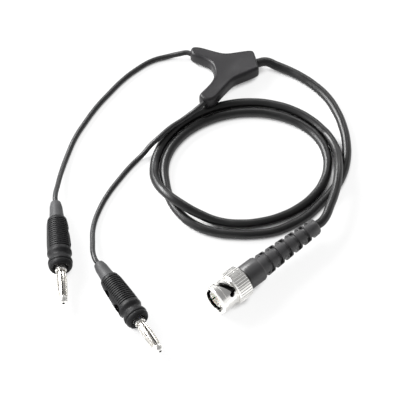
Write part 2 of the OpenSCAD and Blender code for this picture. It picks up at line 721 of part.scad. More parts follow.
module contact_body() {
    tip_r = banana_pin_d / 2;
    difference() {
        union() {
            rod(shank_d - 0.1, shank_from, recess_from - 0.1);
            rod(crown_d, recess_from - 1, crown_to - 0.3);
            translate([0, 0, crown_to - 0.3 - eps])
                cylinder(d1 = crown_d, d2 = crown_d - 0.6, h = 0.3 + eps);
            rod(pin_core_d, crown_to - 1, tip_from + 1);
            rotate_extrude()
                polygon([[0, tip_from], [tip_r, tip_from], [tip_r, banana_l - 1.3],
                         [tip_r - 0.3, banana_l - 0.5], [tip_r - 0.8, banana_l - 0.05],
                         [tip_r - 1.1, banana_l], [0, banana_l]]);
        }
        rod(lead_d + 0.1, shank_from - 1, clamp_at - clamp_screw_d / 2 - 0.6);
        rod(lead_core_d + 0.1, shank_from, lead_hole_to);
        rod(tip_hole_d, banana_l - 1.2, banana_l + 1);
        translate([0, 0, socket_at])
            rotate([-90, 0, 0])
                translate([0, 0, shank_d / 2 - socket_depth])
                    cylinder(d = socket_d, h = socket_depth + 1);
        translate([0, 0, clamp_at])
            rotate([-90, 0, 0])
                translate([0, 0, lead_core_d / 2])
                    cylinder(d = clamp_screw_d, h = shank_d);
        // Notches in the crown's front edge, one at each slit of the cage.
        for (i = [0 : cage_slits - 1])
            rotate([0, 0, 360 * i / cage_slits])
                translate([cage_end_r - 0.1, -0.3, crown_to - 0.5])
                    cube([crown_d, 0.6, 1]);
    }
}

// Clamp screw: a slotted screw that presses on the conductor.
module clamp_screw() {
    translate([0, 0, clamp_at])
        rotate([-90, 0, 0])
            difference() {
                translate([0, 0, lead_core_d / 2 + 0.05])
                    cylinder(d = clamp_screw_d, h = shank_d / 2 - lead_core_d / 2 - 0.25);
                translate([-clamp_screw_d, -0.3, shank_d / 2 - 1])
                    cube([2 * clamp_screw_d, 0.6, 2]);
            }
}

// Sprung cage: a thin barrel with lengthwise slits, held between the crown and the tip.
cage_wall = 0.3;
cage_end_r = pin_core_d / 2 + cage_wall + 0.1;

module contact_cage() {
    from = crown_to + 0.05;
    to = tip_from - 0.05;
    long = to - from;
    bulge = cage_d / 2 - cage_end_r;
    outer = [for (k = [0 : 12]) let (t = k / 12)
             [cage_end_r + bulge * pow(sin(180 * pow(t, 0.8)), 0.7), from + long * t]];
    inner = [for (k = [12 : -1 : 0]) [outer[k][0] - cage_wall, outer[k][1]]];
    difference() {
        rotate_extrude($fn = 64)
            polygon(concat(outer, inner));
        for (i = [0 : cage_slits - 1])
            rotate([0, 0, 360 * i / cage_slits])
                translate([0.5, -0.2, from + 0.5])
                    cube([cage_d, 0.4, long - 1.2]);
    }
}

// The lead's end: insulated up to the clamp, then bare conductor.
module lead_end() {
    bare_from = clamp_at - clamp_screw_d / 2 - 0.7;
    rod(lead_d, 0, bare_from);
    rod(lead_core_d, bare_from - 1, lead_hole_to - 0.1);
}

module on_signal_plug() {
    on_banana_axis(signal_plug_at, signal_plug_turn)
        children();
}

// The ground plug lies half a turn round its axis, so its side openings face the other way.
module on_ground_plug() {
    on_banana_axis(ground_plug_at, ground_plug_turn)
        rotate([0, 0, 180])
            children();
}

module signal_tail_sleeve() { color("#5a5a5e") on_signal_plug() tail_sleeve(); }
module signal_grip() { color("#303033") on_signal_plug() grip(); }
module signal_contact_body() { color("gainsboro") on_signal_plug() contact_body(); }
module signal_contact_cage() { color("silver") on_signal_plug() contact_cage(); }
module signal_clamp_screw() { color("darkgray") on_signal_plug() clamp_screw(); }
module signal_lead_end() { color("black") on_signal_plug() lead_end(); }
module ground_tail_sleeve() { color("#5a5a5e") on_ground_plug() tail_sleeve(); }
module ground_grip() { color("#303033") on_ground_plug() grip(); }
module ground_contact_body() { color("gainsboro") on_ground_plug() contact_body(); }
module ground_contact_cage() { color("silver") on_ground_plug() contact_cage(); }
module ground_clamp_screw() { color("darkgray") on_ground_plug() clamp_screw(); }
module ground_lead_end() { color("black") on_ground_plug() lead_end(); }

// ---- Cables ----
module coax_lead_in() { color("#1c1c1e") tube(lead_in_path, coax_r, 8); }
module coax_coil() { color("#1c1c1e") tube(coil_path, coax_r, 6); }
module coax_lead_out() { color("#1c1c1e") tube(lead_out_path, coax_r, 8); }
module signal_lead() { color("#161618") tube(refined(signal_path, 2), lead_r, 8); }
module ground_lead() { color("#161618") tube(refined(ground_path, 2), lead_r, 8); }

// ---- Junction housing, drawn flat on its own plan and then tilted ----
module tilted() {
    translate([home[0], junction_far + home[1], 0])
        rotate([-junction_tilt, 0, 0])
            translate([0, -junction_far, 0])
                children();
}

// The outline moved inwards by an inset, square to its edges.
function inset_point(p, i, inset) = let (
        n = len(p),
        along = unit(p[i] - p[(i + n - 1) % n]),
        on = unit(p[(i + 1) % n] - p[i]),
        in_a = [along[1], -along[0]],
        in_b = [on[1], -on[0]],
        middle = unit(in_a + in_b))
    p[i] + middle * inset / (middle * in_a);

// The whole housing: a stack of outlines, stepped inwards towards both flat faces.
module housing() {
    for (step = edge_steps)
        linear_extrude(height = step[0] * junction_t, center = true)
            polygon([for (i = [0 : len(junction_outline) - 1])
                     inset_point(junction_outline, i, step[1] * junction_rounding)]);
}

// A round channel from the hub out of an arm, or part of one.
module channel(root, at, d, from, to) {
    way = heading(root, at);
    translate([at[0], at[1], 0])
        rotate([0, 0, way])
            rotate([0, 90, 0])
                rod(d, from, to);
}

module channels() {
    channel(coax_root, coax_arm_at, coax_d + 0.1, -7, 3);
    channel(coax_root, coax_arm_at, coax_insulation_d + 0.4, -11, -6);
    channel(signal_root, signal_arm_at, lead_d + 0.1, -9, 3);
    channel(ground_root, ground_arm_at, lead_d + 0.1, -12, 6);
    translate([hub_at[0], hub_at[1], 0])
        cylinder(d = pocket_d, h = junction_t - 2.4, center = true);
}

module in_junction() {
    tilted()
        translate([0, 0, junction_t / 2])
            children();
}

// One half of the housing, with the channels for the cables.
module shell(up) {
    spread = 100;
    in_junction()
        difference() {
            housing();
            channels();
            translate([-spread / 2, 0, up ? shell_gap / 2 - junction_t : -shell_gap / 2])
                cube([spread, spread, junction_t]);
        }
}

module junction_upper_shell() { color("#262628") shell(true); }
module junction_lower_shell() { color("#3a3a3d") shell(false); }

module coax_junction_end() {
    color("dimgray")
        in_junction() {
            channel(coax_root, coax_arm_at, coax_d, -6.8, 0);
            channel(coax_root, coax_arm_at, coax_insulation_d, -10, -6.5);
        }
}

module signal_junction_end() {
    color("black")
        in_junction()
            channel(signal_root, signal_arm_at, lead_d, -8.8, 0);
}

module ground_junction_end() {
    color("black")
        in_junction()
            channel(ground_root, ground_arm_at, lead_d, -11.8, 0);
}

// Crimped splices between the cable and the leads.
module signal_splice() {
    color("silver")
        in_junction()
            translate([hub_at[0] - 0.6, hub_at[1] + 1.4, 0])
                cylinder(d = splice_d, h = junction_t - 3, center = true);
}

module ground_splice() {
    color("silver")
        in_junction()
            translate([hub_at[0] - 0.6, hub_at[1] - 1.6, 0])
                cylinder(d = splice_d, h = junction_t - 3, center = true);
}

bnc_coupling_nut();
bnc_retaining_ring();
bnc_thrust_washer();
bnc_wave_spring();
bnc_face_gasket();
bnc_plug_body();
bnc_outer_contact();
bnc_front_insulator();
bnc_rear_insulator();
bnc_centre_pin();
bnc_crimp_ferrule();
bnc_boot();
coax_plug_end();
coax_lead_in();
coax_coil();
coax_lead_out();
coax_junction_end();
junction_upper_shell();
junction_lower_shell();
signal_splice();
ground_splice();
signal_lead();
ground_lead();
signal_junction_end();
ground_junction_end();
signal_tail_sleeve();
signal_grip();
signal_contact_body();
signal_contact_cage();
signal_clamp_screw();
signal_lead_end();
ground_tail_sleeve();
ground_grip();
ground_contact_body();
ground_contact_cage();
ground_clamp_screw();
ground_lead_end();
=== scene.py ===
"""Finishes for an adapter lead.

A BNC plug on a coiled coaxial cable, a moulded Y junction, and two banana plugs on single leads.
"""

import json
import math

import bmesh
import bpy
from mathutils import Matrix, Vector


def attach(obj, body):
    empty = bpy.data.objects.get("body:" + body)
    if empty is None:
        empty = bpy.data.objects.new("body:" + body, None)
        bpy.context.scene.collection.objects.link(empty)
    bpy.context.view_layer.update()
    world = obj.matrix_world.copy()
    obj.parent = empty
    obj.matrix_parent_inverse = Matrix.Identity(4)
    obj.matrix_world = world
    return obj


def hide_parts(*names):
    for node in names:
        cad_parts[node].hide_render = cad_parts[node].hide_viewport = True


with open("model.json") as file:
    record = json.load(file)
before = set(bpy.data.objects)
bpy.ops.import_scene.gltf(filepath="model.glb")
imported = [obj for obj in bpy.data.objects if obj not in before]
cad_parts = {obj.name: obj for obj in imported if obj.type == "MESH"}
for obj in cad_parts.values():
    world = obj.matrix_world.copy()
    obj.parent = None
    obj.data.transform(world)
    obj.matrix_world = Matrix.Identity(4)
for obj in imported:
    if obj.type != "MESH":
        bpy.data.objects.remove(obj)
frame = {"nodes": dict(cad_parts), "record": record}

bl_info = {
    "name": "BNC to banana adapter lead",
    "version": (1, 0, 0),
    "blender": (4, 5, 0),
    "location": "3D View > Sidebar > Adapter Lead",
    "description": "Cables, plugs and junction of an adapter lead, their finishes and a stage",
    "category": "Object",
}

MM = 0.001
MOUNTS = {row["name"]: row for row in frame["record"]["mounts"]}


# ---------------------------------------------------------------- sizes, in millimetres

# A station is a distance along a plug's own axis, from the place that its matrix starts at.
PLUG_L = 57.0           # BNC plug, from the nut's rim to the boot's end
BANANA_L = 51.6         # banana plug, from the tail sleeve's end to the pin's tip
COAX_R = 1.95
LEAD_R = 1.1

# Where painted shade darkens the plating: within a bore, beyond the outer contact's front rim, and
# along a contact's core behind its cage.
NUT_BORE_R = 4.96
CONTACT_WALL_R = 3.85
TIP_HOLE_R = 0.62
BAND_SPAN = 60.0
RIM_SHADE_BANDS = ((1.6, 1), (14, 0.7))
CORE_SHADE_BANDS = ((35.9, 1), (36.3, 0.06), (48.6, 0.06), (48.9, 1))

# Grip of a banana plug: its half thickness along its length, its ribs and its side openings.
GRIP_LINE = ((9.3, 4.0), (11.2, 4.5), (16.6, 4.85), (21.2, 5.12), (25.7, 5.2))
RIBS, RIBS_FROM, RIB_PITCH, RIB_DEPTH, RIB_HALF_WIDTH = 14, 10.5, 1.06, 0.32, 4.05
GRIP_OPENINGS = ((24.3, 2.45), (15.6, 2.1))

# Sprung cage of a banana plug: its ends, its wall, and its slits' half width in degrees.
CAGE_FROM, CAGE_TO, CAGE_END_R, CAGE_BULGE, CAGE_WALL = 35.35, 48.85, 1.8, 0.45, 0.3
SLITS, SLIT_HALF, SLIT_MARGIN, CAGE_RINGS, CAGE_SIDES = 8, 6.8, 0.6, 24, 128

# Boot of the BNC plug: slots and notches, each with its half width, half arc and depth.
BOOT_ROLL = 27.5
BOOT_CUTS, CUTS_FROM, CUT_PITCH = 11, 26.0, 2.66
SLOT, NOTCH = (1.15, 43, 1.3), (0.85, 72, 1.15)
TAPER_FROM, TAPER_WIDE, TAPER_BY, TAPER_POWER = 25.15, 10.4, 3.1, 0.85

# Steps in which a shell of the junction closes: shares of its height and of its edge's width.
SHELL_WALL = 0.35
SHELL_STEPS = ((0.25, 0.03), (0.2, 0.12), (0.13, 0.25), (0.06, 0.3), (0.01, 0.3))

# Stage, in metres and degrees, but for the floor's dark reach and the sensor, in millimetres.
NOOK = 4.5
FLOOR_LEVEL = -0.0002
FLOOR_GLOW, MIRRORED_GLOW = 0.9, 0.6
SKY_FROM, SKY_TO = 0.2, 0.55
CAMERA_ELEVATION, CAMERA_DISTANCE, CAMERA_VIEW, SENSOR = 55, 6.4, 0.168, 36.0
# Each lamp's place, width, height and power.
LAMPS = {
    "key_lamp": ((-0.7, 0.45, 0.65), 0.9, 0.34, 28.0),
    "side_lamp": ((-1.0, -0.12, 0.35), 0.5, 0.25, 4.0),
    "rear_lamp": ((0.35, 1.0, 0.75), 0.7, 0.2, 4.0),
}


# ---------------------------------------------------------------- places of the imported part

def axis_place(point, forward, roll=0.0):
    """A matrix whose +Z runs along a plug's axis and whose X lies level, turned by roll degrees."""
    z = Vector(forward).normalized()
    x = Vector((0, 0, 1)).cross(z).normalized()
    y = z.cross(x)
    turned = Matrix((x, y, z)).transposed().to_4x4()
    return Matrix.Translation(Vector(point)) @ turned @ Matrix.Rotation(math.radians(roll), 4, "Z")


def mount(name):
    """Where a mount is, in metres, and the way it faces."""
    return Vector(MOUNTS[name]["pos_m"]), Vector(MOUNTS[name]["axis"])


BNC_RIM, BNC_FORWARD = mount("bnc_socket_interface")
BNC_BACK = -BNC_FORWARD
# Each banana plug's tip, its direction, and the roll that turns its openings to their side.
PLUGS = {"signal": (*mount("signal_banana_pin"), 0.0),
         "ground": (*mount("ground_banana_pin"), 180.0)}


def banana_place(side):
    """Local +Z runs from the tail sleeve's end, at station 0, to the pin's tip."""
    tip, forward, roll = PLUGS[side]
    return axis_place(tip - forward * BANANA_L * MM, forward, roll)


def bnc_place():
    """Local +Z runs from the nut's rim, at station 0, to the boot's end."""
    return axis_place(BNC_RIM, BNC_BACK)


# ---------------------------------------------------------------- settings

def size(name, text, default, low, high):
    """A length."""
    return bpy.props.FloatProperty(name=name, description=text, default=default,
                                   min=low, max=high, unit="LENGTH", precision=5)


def share(name, text, default, low=0.0, high=1.0):
    """A plain number with a slider."""
    return bpy.props.FloatProperty(name=name, description=text, default=default,
                                   min=low, max=high, subtype="FACTOR")


def colour(name, text, default):
    """A colour, in linear light."""
    return bpy.props.FloatVectorProperty(name=name, description=text, default=default, size=3,
                                         min=0.0, max=1.0, subtype="COLOR")


class CableSettings(bpy.types.PropertyGroup):
    """Sizes and colours of the cables"""
    coax_diameter: size("Coaxial cable", "Outer diameter of the coaxial cable",
                        2 * COAX_R * MM, 3.7 * MM, 4.1 * MM)
    lead_diameter: size("Single lead", "Outer diameter of each single-core lead",
                        2 * LEAD_R * MM, 2.0 * MM, 2.4 * MM)
    jacket: colour("Jacket", "Colour of the coaxial cable's jacket", (0.004, 0.004, 0.0042))
    insulation: colour("Insulation", "Colour of the leads' insulation", (0.009, 0.009, 0.0095))


class HousingSettings(bpy.types.PropertyGroup):
    """Edges and colour of the junction housing"""
    edge: size("Edge", "Width of the rounding along the housing's edges",
               1.5 * MM, 0.6 * MM, 2.0 * MM)
    plastic: colour("Plastic", "Colour of the junction housing", (0.010, 0.0093, 0.0105))


class PlugSettings(bpy.types.PropertyGroup):
    """Colours of the plugs' plastic and rubber"""
    boot: colour("Boot", "Colour of the BNC plug's rubber boot", (0.03, 0.0293, 0.0305))
    grip: colour("Grip", "Colour of the banana plugs' grips", (0.008, 0.008, 0.0085))
    sleeve: colour("Tail sleeve", "Colour of the banana plugs' sleeves", (0.046, 0.046, 0.0475))
    gasket: colour("Gasket", "Colour of the soft gasket in the BNC plug", (0.02, 0.018, 0.017))
    insulator: colour("Insulator", "Colour of the BNC plug's insulators", (0.86, 0.85, 0.81))


class MetalSettings(bpy.types.PropertyGroup):
    """Colours and polish of the metal"""
    nickel: colour("Nickel", "Colour of the bright nickel plating", (0.93, 0.92, 0.895))
    cage: colour("Cage nickel", "Colour of the sprung cages", (0.62, 0.60, 0.56))
    # The inner nickel is a darker copy of the bright nickel: painted shade for parts inside the
    # plugs.
    inner: colour("Inner nickel", "Colour of the plain nickel inside the plugs", (0.42, 0.41, 0.39))
    steel: colour("Steel", "Colour of the spring and the screws", (0.55, 0.56, 0.58))
    gold: colour("Gold", "Colour of the centre pin's plating", (0.80, 0.76, 0.66))
    polish: share("Roughness", "Roughness of the plated surfaces", 0.2, 0.05, 0.5)


class StageSettings(bpy.types.PropertyGroup):
    """Floor and lamps"""
    floor: colour("Floor", "Colour of the floor", (0.97, 0.97, 0.97))
    floor_size: size("Floor size", "Width of the floor", 6.0, 1.0, 20.0)
    key: share("Key lamp", "Strength of the large lamp behind the part", 1.0, 0.0, 4.0)
    rear: share("Rear lamp", "Strength of the lamp behind the part on the right", 1.0, 0.0, 4.0)
    side: share("Side lamp", "Strength of the lamp on the left", 1.0, 0.0, 4.0)
    fill: share("Fill", "Brightness of the ceiling above the pale backdrop", 0.3)


# ---------------------------------------------------------------- materials

# Span of a noise texture's values that is spread over a colour or a roughness.
NOISE_LOW, NOISE_HIGH = 0.3, 0.7


class Paint:
    """A material with its Principled shader, and a short way to add and join nodes."""

    def __init__(self, name, base, roughness, **fixed):
        self.material = bpy.data.materials.new(name)
        self.material.use_nodes = True
        self.nodes = self.material.node_tree.nodes
        self.links = self.material.node_tree.links
        self.shader = self.nodes["Principled BSDF"]
        self.shader.inputs["Base Color"].default_value = (*base, 1.0)
        self.shader.inputs["Roughness"].default_value = roughness
        for socket, value in fixed.items():
            self.shader.inputs[socket.replace("_", " ")].default_value = value
        self.base = base
        self.where = self.add("ShaderNodeTexCoord").outputs["Object"]

    def add(self, kind, **values):
        node = self.nodes.new(kind)
        for key, value in values.items():
            setattr(node, key, value)
        return node

    def join(self, source, target):
        self.links.new(source, target)

    def place(self, matrix):
        """Object coordinates turned onto a plug's own axis."""
        inverse = matrix.inverted()
        mapping = self.add("ShaderNodeMapping", vector_type="POINT")
        mapping.inputs["Location"].default_value = inverse.to_translation()
        mapping.inputs["Rotation"].default_value = inverse.to_euler()
        self.join(self.where, mapping.inputs["Vector"])
        return mapping.outputs["Vector"]

    def stretch(self, vector, scale):
        mapping = self.add("ShaderNodeMapping", vector_type="POINT")
        mapping.inputs["Scale"].default_value = scale
        self.join(vector, mapping.inputs["Vector"])
        return mapping.outputs["Vector"]

    def noise(self, scale, detail=4.0, rough=0.55, vector=None):
        node = self.add("ShaderNodeTexNoise")
        node.inputs["Scale"].default_value = scale
        node.inputs["Detail"].default_value = detail
        node.inputs["Roughness"].default_value = rough
        self.join(vector or self.where, node.inputs["Vector"])
        return node.outputs["Fac"]

    def ramp(self, value, stops):
        node = self.add("ShaderNodeValToRGB")
        while len(node.color_ramp.elements) < len(stops):
            node.color_ramp.elements.new(0.5)
        for element, (at, shade) in zip(node.color_ramp.elements, stops):
            element.position = at
            element.color = (*shade, 1.0)
        self.join(value, node.inputs["Fac"])
        return node.outputs["Color"]

    def tint(self, value, low, high):
        """Spreads the base colour between a darker and a lighter shade."""
        dark = tuple(c * low for c in self.base)
        light = tuple(min(1.0, c * high) for c in self.base)
        shades = self.ramp(value, [(NOISE_LOW, dark), (NOISE_HIGH, light)])
        self.join(shades, self.shader.inputs["Base Color"])

    def between(self, value, from_low, from_high, low, high):
        node = self.add("ShaderNodeMapRange")
        for socket, number in (("From Min", from_low), ("From Max", from_high),
                               ("To Min", low), ("To Max", high)):
            node.inputs[socket].default_value = number
        self.join(value, node.inputs["Value"])
        return node.outputs["Result"]

    def vary_roughness(self, value, low, high):
        self.join(self.between(value, NOISE_LOW, NOISE_HIGH, low, high),
                  self.shader.inputs["Roughness"])

    def shade_bore(self, own, radius, within, beyond=1.0):
        """Scales the base colour within a radius of the plug's axis, and beyond it; this paints
        shade into a bore or round it.
        """
        from_axis = self.add("ShaderNodeVectorMath", operation="LENGTH")
        self.join(self.stretch(own, (1.0, 1.0, 0.0)), from_axis.inputs[0])
        part = self.between(from_axis.outputs["Value"], radius * 0.99 * MM, radius * 1.01 * MM,
                            within, beyond)
        dimmed = self.add("ShaderNodeVectorMath", operation="SCALE")
        target = self.shader.inputs["Base Color"]
        self.join(target.links[0].from_socket, dimmed.inputs[0])
        self.join(part, dimmed.inputs["Scale"])
        self.join(dimmed.outputs["Vector"], target)

    def bump(self, value, strength, distance, under=None):
        node = self.add("ShaderNodeBump")
        node.inputs["Strength"].default_value = strength
        node.inputs["Distance"].default_value = distance
        self.join(value, node.inputs["Height"])
        if under is not None:
            self.join(under, node.inputs["Normal"])
        self.join(node.outputs["Normal"], self.shader.inputs["Normal"])
        return node.outputs["Normal"]


def jacket_vinyl(name, base, roughness):
    """Smooth extruded cable jacket with patches of sheen and a faint grain."""
    paint = Paint(name, base, roughness, Specular_IOR_Level=0.45)
    cloud = paint.noise(55.0, 3.0, 0.6)
    paint.tint(cloud, 0.8, 1.3)
    paint.vary_roughness(paint.noise(140.0, 5.0, 0.6), roughness - 0.04, roughness + 0.05)
    fine = paint.bump(paint.noise(2600.0, 3.0, 0.6), 0.05, 0.00001)
    paint.bump(paint.noise(260.0, 2.0, 0.5), 0.05, 0.00004, fine)
    return paint.material


def eroded_plastic(name, base, roughness, grain, relief, gloss=0.22):
    """Moulded plastic from a spark-eroded tool: a fine even grain and slightly shinier patches."""
    paint = Paint(name, base, roughness, Specular_IOR_Level=gloss)
    paint.tint(paint.noise(70.0, 4.0, 0.6), 0.82, 1.25)
    paint.vary_roughness(paint.noise(160.0, 4.0, 0.6), roughness - 0.08, roughness + 0.08)
    coarse = paint.bump(paint.noise(grain, 2.0, 0.5), relief, 0.00002)
    paint.bump(paint.noise(grain * 0.25, 2.0, 0.5), relief * 0.4, 0.00003, coarse)
    return paint.material


# Scale of the wave texture for the turning marks, which come about 1.4 mm apart.
TURNING_MARKS = 1.0 / 0.00022 / 20.0


def bright_nickel(name, base, roughness, place):
    """Bright nickel plating over turned brass, with faint rings round the axis and painted shade in
    the bore.
    """
    paint = Paint(name, base, roughness, Metallic=1.0)
    own = paint.place(place)
    paint.tint(paint.noise(90.0, 3.0, 0.6), 0.94, 1.05)
    # Painted shade: the colour is darkened to a small share within the nut's bore.
    paint.shade_bore(own, NUT_BORE_R, 0.06)
    paint.vary_roughness(paint.noise(220.0, 5.0, 0.65), roughness * 0.75, roughness * 1.35)
    rings = paint.add("ShaderNodeTexWave", wave_type="BANDS", bands_direction="Z",
                      wave_profile="SIN")
    rings.inputs["Scale"].default_value = TURNING_MARKS
    rings.inputs["Distortion"].default_value = 1.5
    rings.inputs["Detail"].default_value = 3.0
    rings.inputs["Detail Scale"].default_value = 2.0
    paint.join(own, rings.inputs["Vector"])
    turned = paint.bump(rings.outputs["Fac"], 0.10, 0.000008)
    paint.bump(paint.noise(900.0, 3.0, 0.6), 0.05, 0.00001, turned)
    return paint.material


def nickel_with_painted_shade(name, base, roughness, place, bands, bore, within, beyond):
    """Nickel plating darkened by painted shade where it lies inside a plug.

    The bands are stations along the plug and shares of the colour, which paint shade along it. The
    last three values scale the colour within a radius of the axis and beyond it, which paints shade
    into a bore or onto an outside.
    """
    paint = Paint(name, base, roughness, Metallic=0.95)
    split = paint.add("ShaderNodeSeparateXYZ")
    own = paint.place(place)
    paint.join(own, split.inputs[0])
    along = paint.add("ShaderNodeMath", operation="MULTIPLY_ADD")
    along.inputs[1].default_value = 1.0 / (BAND_SPAN * MM)
    paint.join(split.outputs["Z"], along.inputs[0])
    cloud = paint.add("ShaderNodeMath", operation="MULTIPLY")
    cloud.inputs[1].default_value = 0.004
    paint.join(paint.noise(400.0), cloud.inputs[0])
    paint.join(cloud.outputs[0], along.inputs[2])
    # Painted shade: the colour is scaled band by band along the plug.
    stops = [(station / BAND_SPAN, tuple(c * part for c in base)) for station, part in bands]
    paint.join(paint.ramp(along.outputs[0], stops), paint.shader.inputs["Base Color"])
    paint.shade_bore(own, bore, within, beyond)
    paint.vary_roughness(paint.noise(400.0, 4.0, 0.6), roughness - 0.05, roughness + 0.1)
    paint.bump(paint.noise(1800.0, 3.0, 0.6), 0.10, 0.00001)
    return paint.material


def plain_metal(name, base, roughness):
    """Plain plated or drawn metal inside the plugs."""
    paint = Paint(name, base, roughness, Metallic=1.0)
    paint.tint(paint.noise(150.0, 4.0, 0.6), 0.88, 1.06)
    paint.vary_roughness(paint.noise(400.0, 4.0, 0.6), roughness - 0.08, roughness + 0.08)
    paint.bump(paint.noise(1800.0, 3.0, 0.6), 0.10, 0.00001)
    return paint.material


def white_dielectric(name, base):
    """Satin white insulator with a waxy surface and a faint grain."""
    paint = Paint(name, base, 0.42, Subsurface_Weight=0.12, Subsurface_Scale=0.0006)
    paint.tint(paint.noise(240.0, 3.0, 0.6), 0.96, 1.03)
    paint.vary_roughness(paint.noise(500.0, 3.0, 0.6), 0.36, 0.5)
    paint.bump(paint.noise(1600.0, 2.0, 0.5), 0.1, 0.00004)
    return paint.material


def soft_gasket(name, base):
    """Silicone gasket."""
    paint = Paint(name, base, 0.5)
    paint.tint(paint.noise(300.0, 3.0, 0.6), 0.85, 1.1)
    paint.bump(paint.noise(1400.0, 2.0, 0.5), 0.15, 0.00005)
    return paint.material


FINISHES = {}


def finish(slot):
    """The material of a slot or of one piece's own look, made when it is first asked for."""
    if slot not in FINISHES:
        scene = bpy.context.scene
        cable, housing = scene.lead_cables, scene.lead_housing
        plug, metal = scene.lead_plugs, scene.lead_metals
        # Painted shade on the banana contacts: the core behind the cage and the tip hole are
        # darkened.
        pin = {side: (nickel_with_painted_shade, metal.nickel, 0.22, banana_place(side), CORE_SHADE_BANDS,
                      TIP_HOLE_R, 0.02, 1.0) for side in PLUGS}
        makers = {
            "nickel_shell": (bright_nickel, metal.nickel, metal.polish, bnc_place()),
            # Painted shade: a darker nickel for parts inside the plugs.
            "nickel_inner": (plain_metal, metal.inner, 0.3),
            # Painted shade on the outer contact: darker behind its rim and on its outside, within
            # the nut.
            "outer_contact": (nickel_with_painted_shade, metal.nickel, 0.25, bnc_place(), RIM_SHADE_BANDS,
                              CONTACT_WALL_R, 1.0, 0.04),
            "signal_contact": pin["signal"],
            "ground_contact": pin["ground"],
            "spring_contact": (plain_metal, metal.cage, 0.2),
            "spring_steel": (plain_metal, metal.steel, 0.28),
            "screw_steel": (plain_metal, metal.steel, 0.36),
            "gold_pin": (plain_metal, metal.gold, 0.22),
            "gasket_rubber": (soft_gasket, plug.gasket),
            "white_insulator": (white_dielectric, plug.insulator),
            "boot_rubber": (eroded_plastic, plug.boot, 0.42, 1100.0, 0.8, 0.6),
            "coax_jacket": (jacket_vinyl, cable.jacket, 0.36),
            "lead_insulation": (jacket_vinyl, cable.insulation, 0.4),
            "junction_plastic": (eroded_plastic, housing.plastic, 0.36, 1500.0, 0.12, 0.28),
            "grip_plastic": (eroded_plastic, plug.grip, 0.47, 1700.0, 0.06, 0.18),
            "sleeve_plastic": (eroded_plastic, plug.sleeve, 0.5, 1500.0, 0.2),
        }
        make, *values = makers[slot]
        FINISHES[slot] = make(slot, *values)
    return FINISHES[slot]


# ---------------------------------------------------------------- modelling helpers

# Distance in metres under which two vertices are one.
SAME_PLACE = 1e-6


def deselect():
    if bpy.context.object and bpy.context.object.mode != "OBJECT":
        bpy.ops.object.mode_set(mode="OBJECT")
    bpy.ops.object.select_all(action="DESELECT")


def take(piece):
    """Makes a piece the only selected and active object."""
    deselect()
    piece.select_set(True)
    bpy.context.view_layer.objects.active = piece


def settle(piece, body, slot, *nodes, look=None):
    """Gives a finished piece the material of its slot or own look, puts it under its body and hides
    the nodes it stands for.
    """
    piece.data.materials.clear()
    piece.data.materials.append(finish(look or slot))
    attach(piece, body)
    if nodes:
        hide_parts(*nodes)
    return piece


def smooth(piece, angle):
    take(piece)
    bpy.ops.object.shade_smooth_by_angle(angle=math.radians(angle))


def repaint(node, slot):
    """A carried-over node keeps its shape and gets its finish."""
    piece = frame["nodes"][node]
    piece.data.materials.clear()
    piece.data.materials.append(finish(slot))


def merged_copy(node, name):
    """A copy of a node's solid, its triangles joined at their corners and shaded smooth."""
    take(frame["nodes"][node])
    bpy.ops.object.duplicate()
    piece = bpy.context.object
    piece.name = piece.data.name = name
    piece.parent = None
    piece.matrix_world = Matrix.Identity(4)
    for key in list(piece.keys()):
        if key.startswith("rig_"):
            del piece[key]
    bpy.ops.object.mode_set(mode="EDIT")
    bpy.ops.mesh.select_all(action="SELECT")
    bpy.ops.mesh.remove_doubles(threshold=SAME_PLACE)
    bpy.ops.mesh.customdata_custom_splitnormals_clear()
    bpy.ops.object.mode_set(mode="OBJECT")
    smooth(piece, 32.0)
    return piece


def pick(piece, kind, wanted):
    """Selects, in edit mode, the faces, edges or vertices whose middle passes a test."""
    bpy.ops.mesh.select_mode(type=kind)
    bpy.ops.mesh.select_all(action="DESELECT")
    mesh = bmesh.from_edit_mesh(piece.data)
    found = 0
    for part in {"FACE": mesh.faces, "EDGE": mesh.edges, "VERT": mesh.verts}[kind]:
        corners = part.verts if kind != "VERT" else [part]
        middle = sum((corner.co for corner in corners), Vector()) / len(corners)
        if wanted(middle / MM, part):
            part.select_set(True)
            found += 1
    if not found:
        raise RuntimeError("nothing to pick on " + piece.name)
    mesh.select_flush_mode()
    bmesh.update_edit_mesh(piece.data)


def start_shape(name, radius, at, count, fill="NOTHING"):
    """A circle on local Z, in edit mode and all selected, from which a piece is drawn out."""
    deselect()
    bpy.ops.mesh.primitive_circle_add(vertices=count, radius=radius * MM, fill_type=fill,
                                      location=(0, 0, at * MM))
    piece = bpy.context.object
    piece.name = piece.data.name = name
    bpy.ops.object.transform_apply(location=True, rotation=True, scale=True)
    bpy.ops.object.mode_set(mode="EDIT")
    bpy.ops.mesh.select_mode(type="VERT")
    bpy.ops.mesh.select_all(action="SELECT")
    return piece


def draw_out(rise):
    """Extrudes what is selected along local Z, by millimetres; 0 leaves a new ring in place."""
    bpy.ops.mesh.extrude_region_move(TRANSFORM_OT_translate={"value": (0, 0, rise * MM)})


def widen(factor, station):
    """Scales what is selected towards or away from local Z."""
    bpy.ops.transform.resize(value=(factor, factor, 1), center_override=(0, 0, station * MM))


def turned(name, profile, count=96):
    """A turned piece: its profile, as radius and station, is drawn out ring by ring and closed."""
    piece = start_shape(name, *profile[0], count)
    for (r, s), (r_next, s_next) in zip(profile, profile[1:] + profile[:1]):
        draw_out(s_next - s)
        widen(r_next / r, s_next)
    bpy.ops.mesh.select_all(action="SELECT")
    bpy.ops.mesh.remove_doubles(threshold=SAME_PLACE)
    bpy.ops.mesh.normals_make_consistent(inside=False)
    return piece


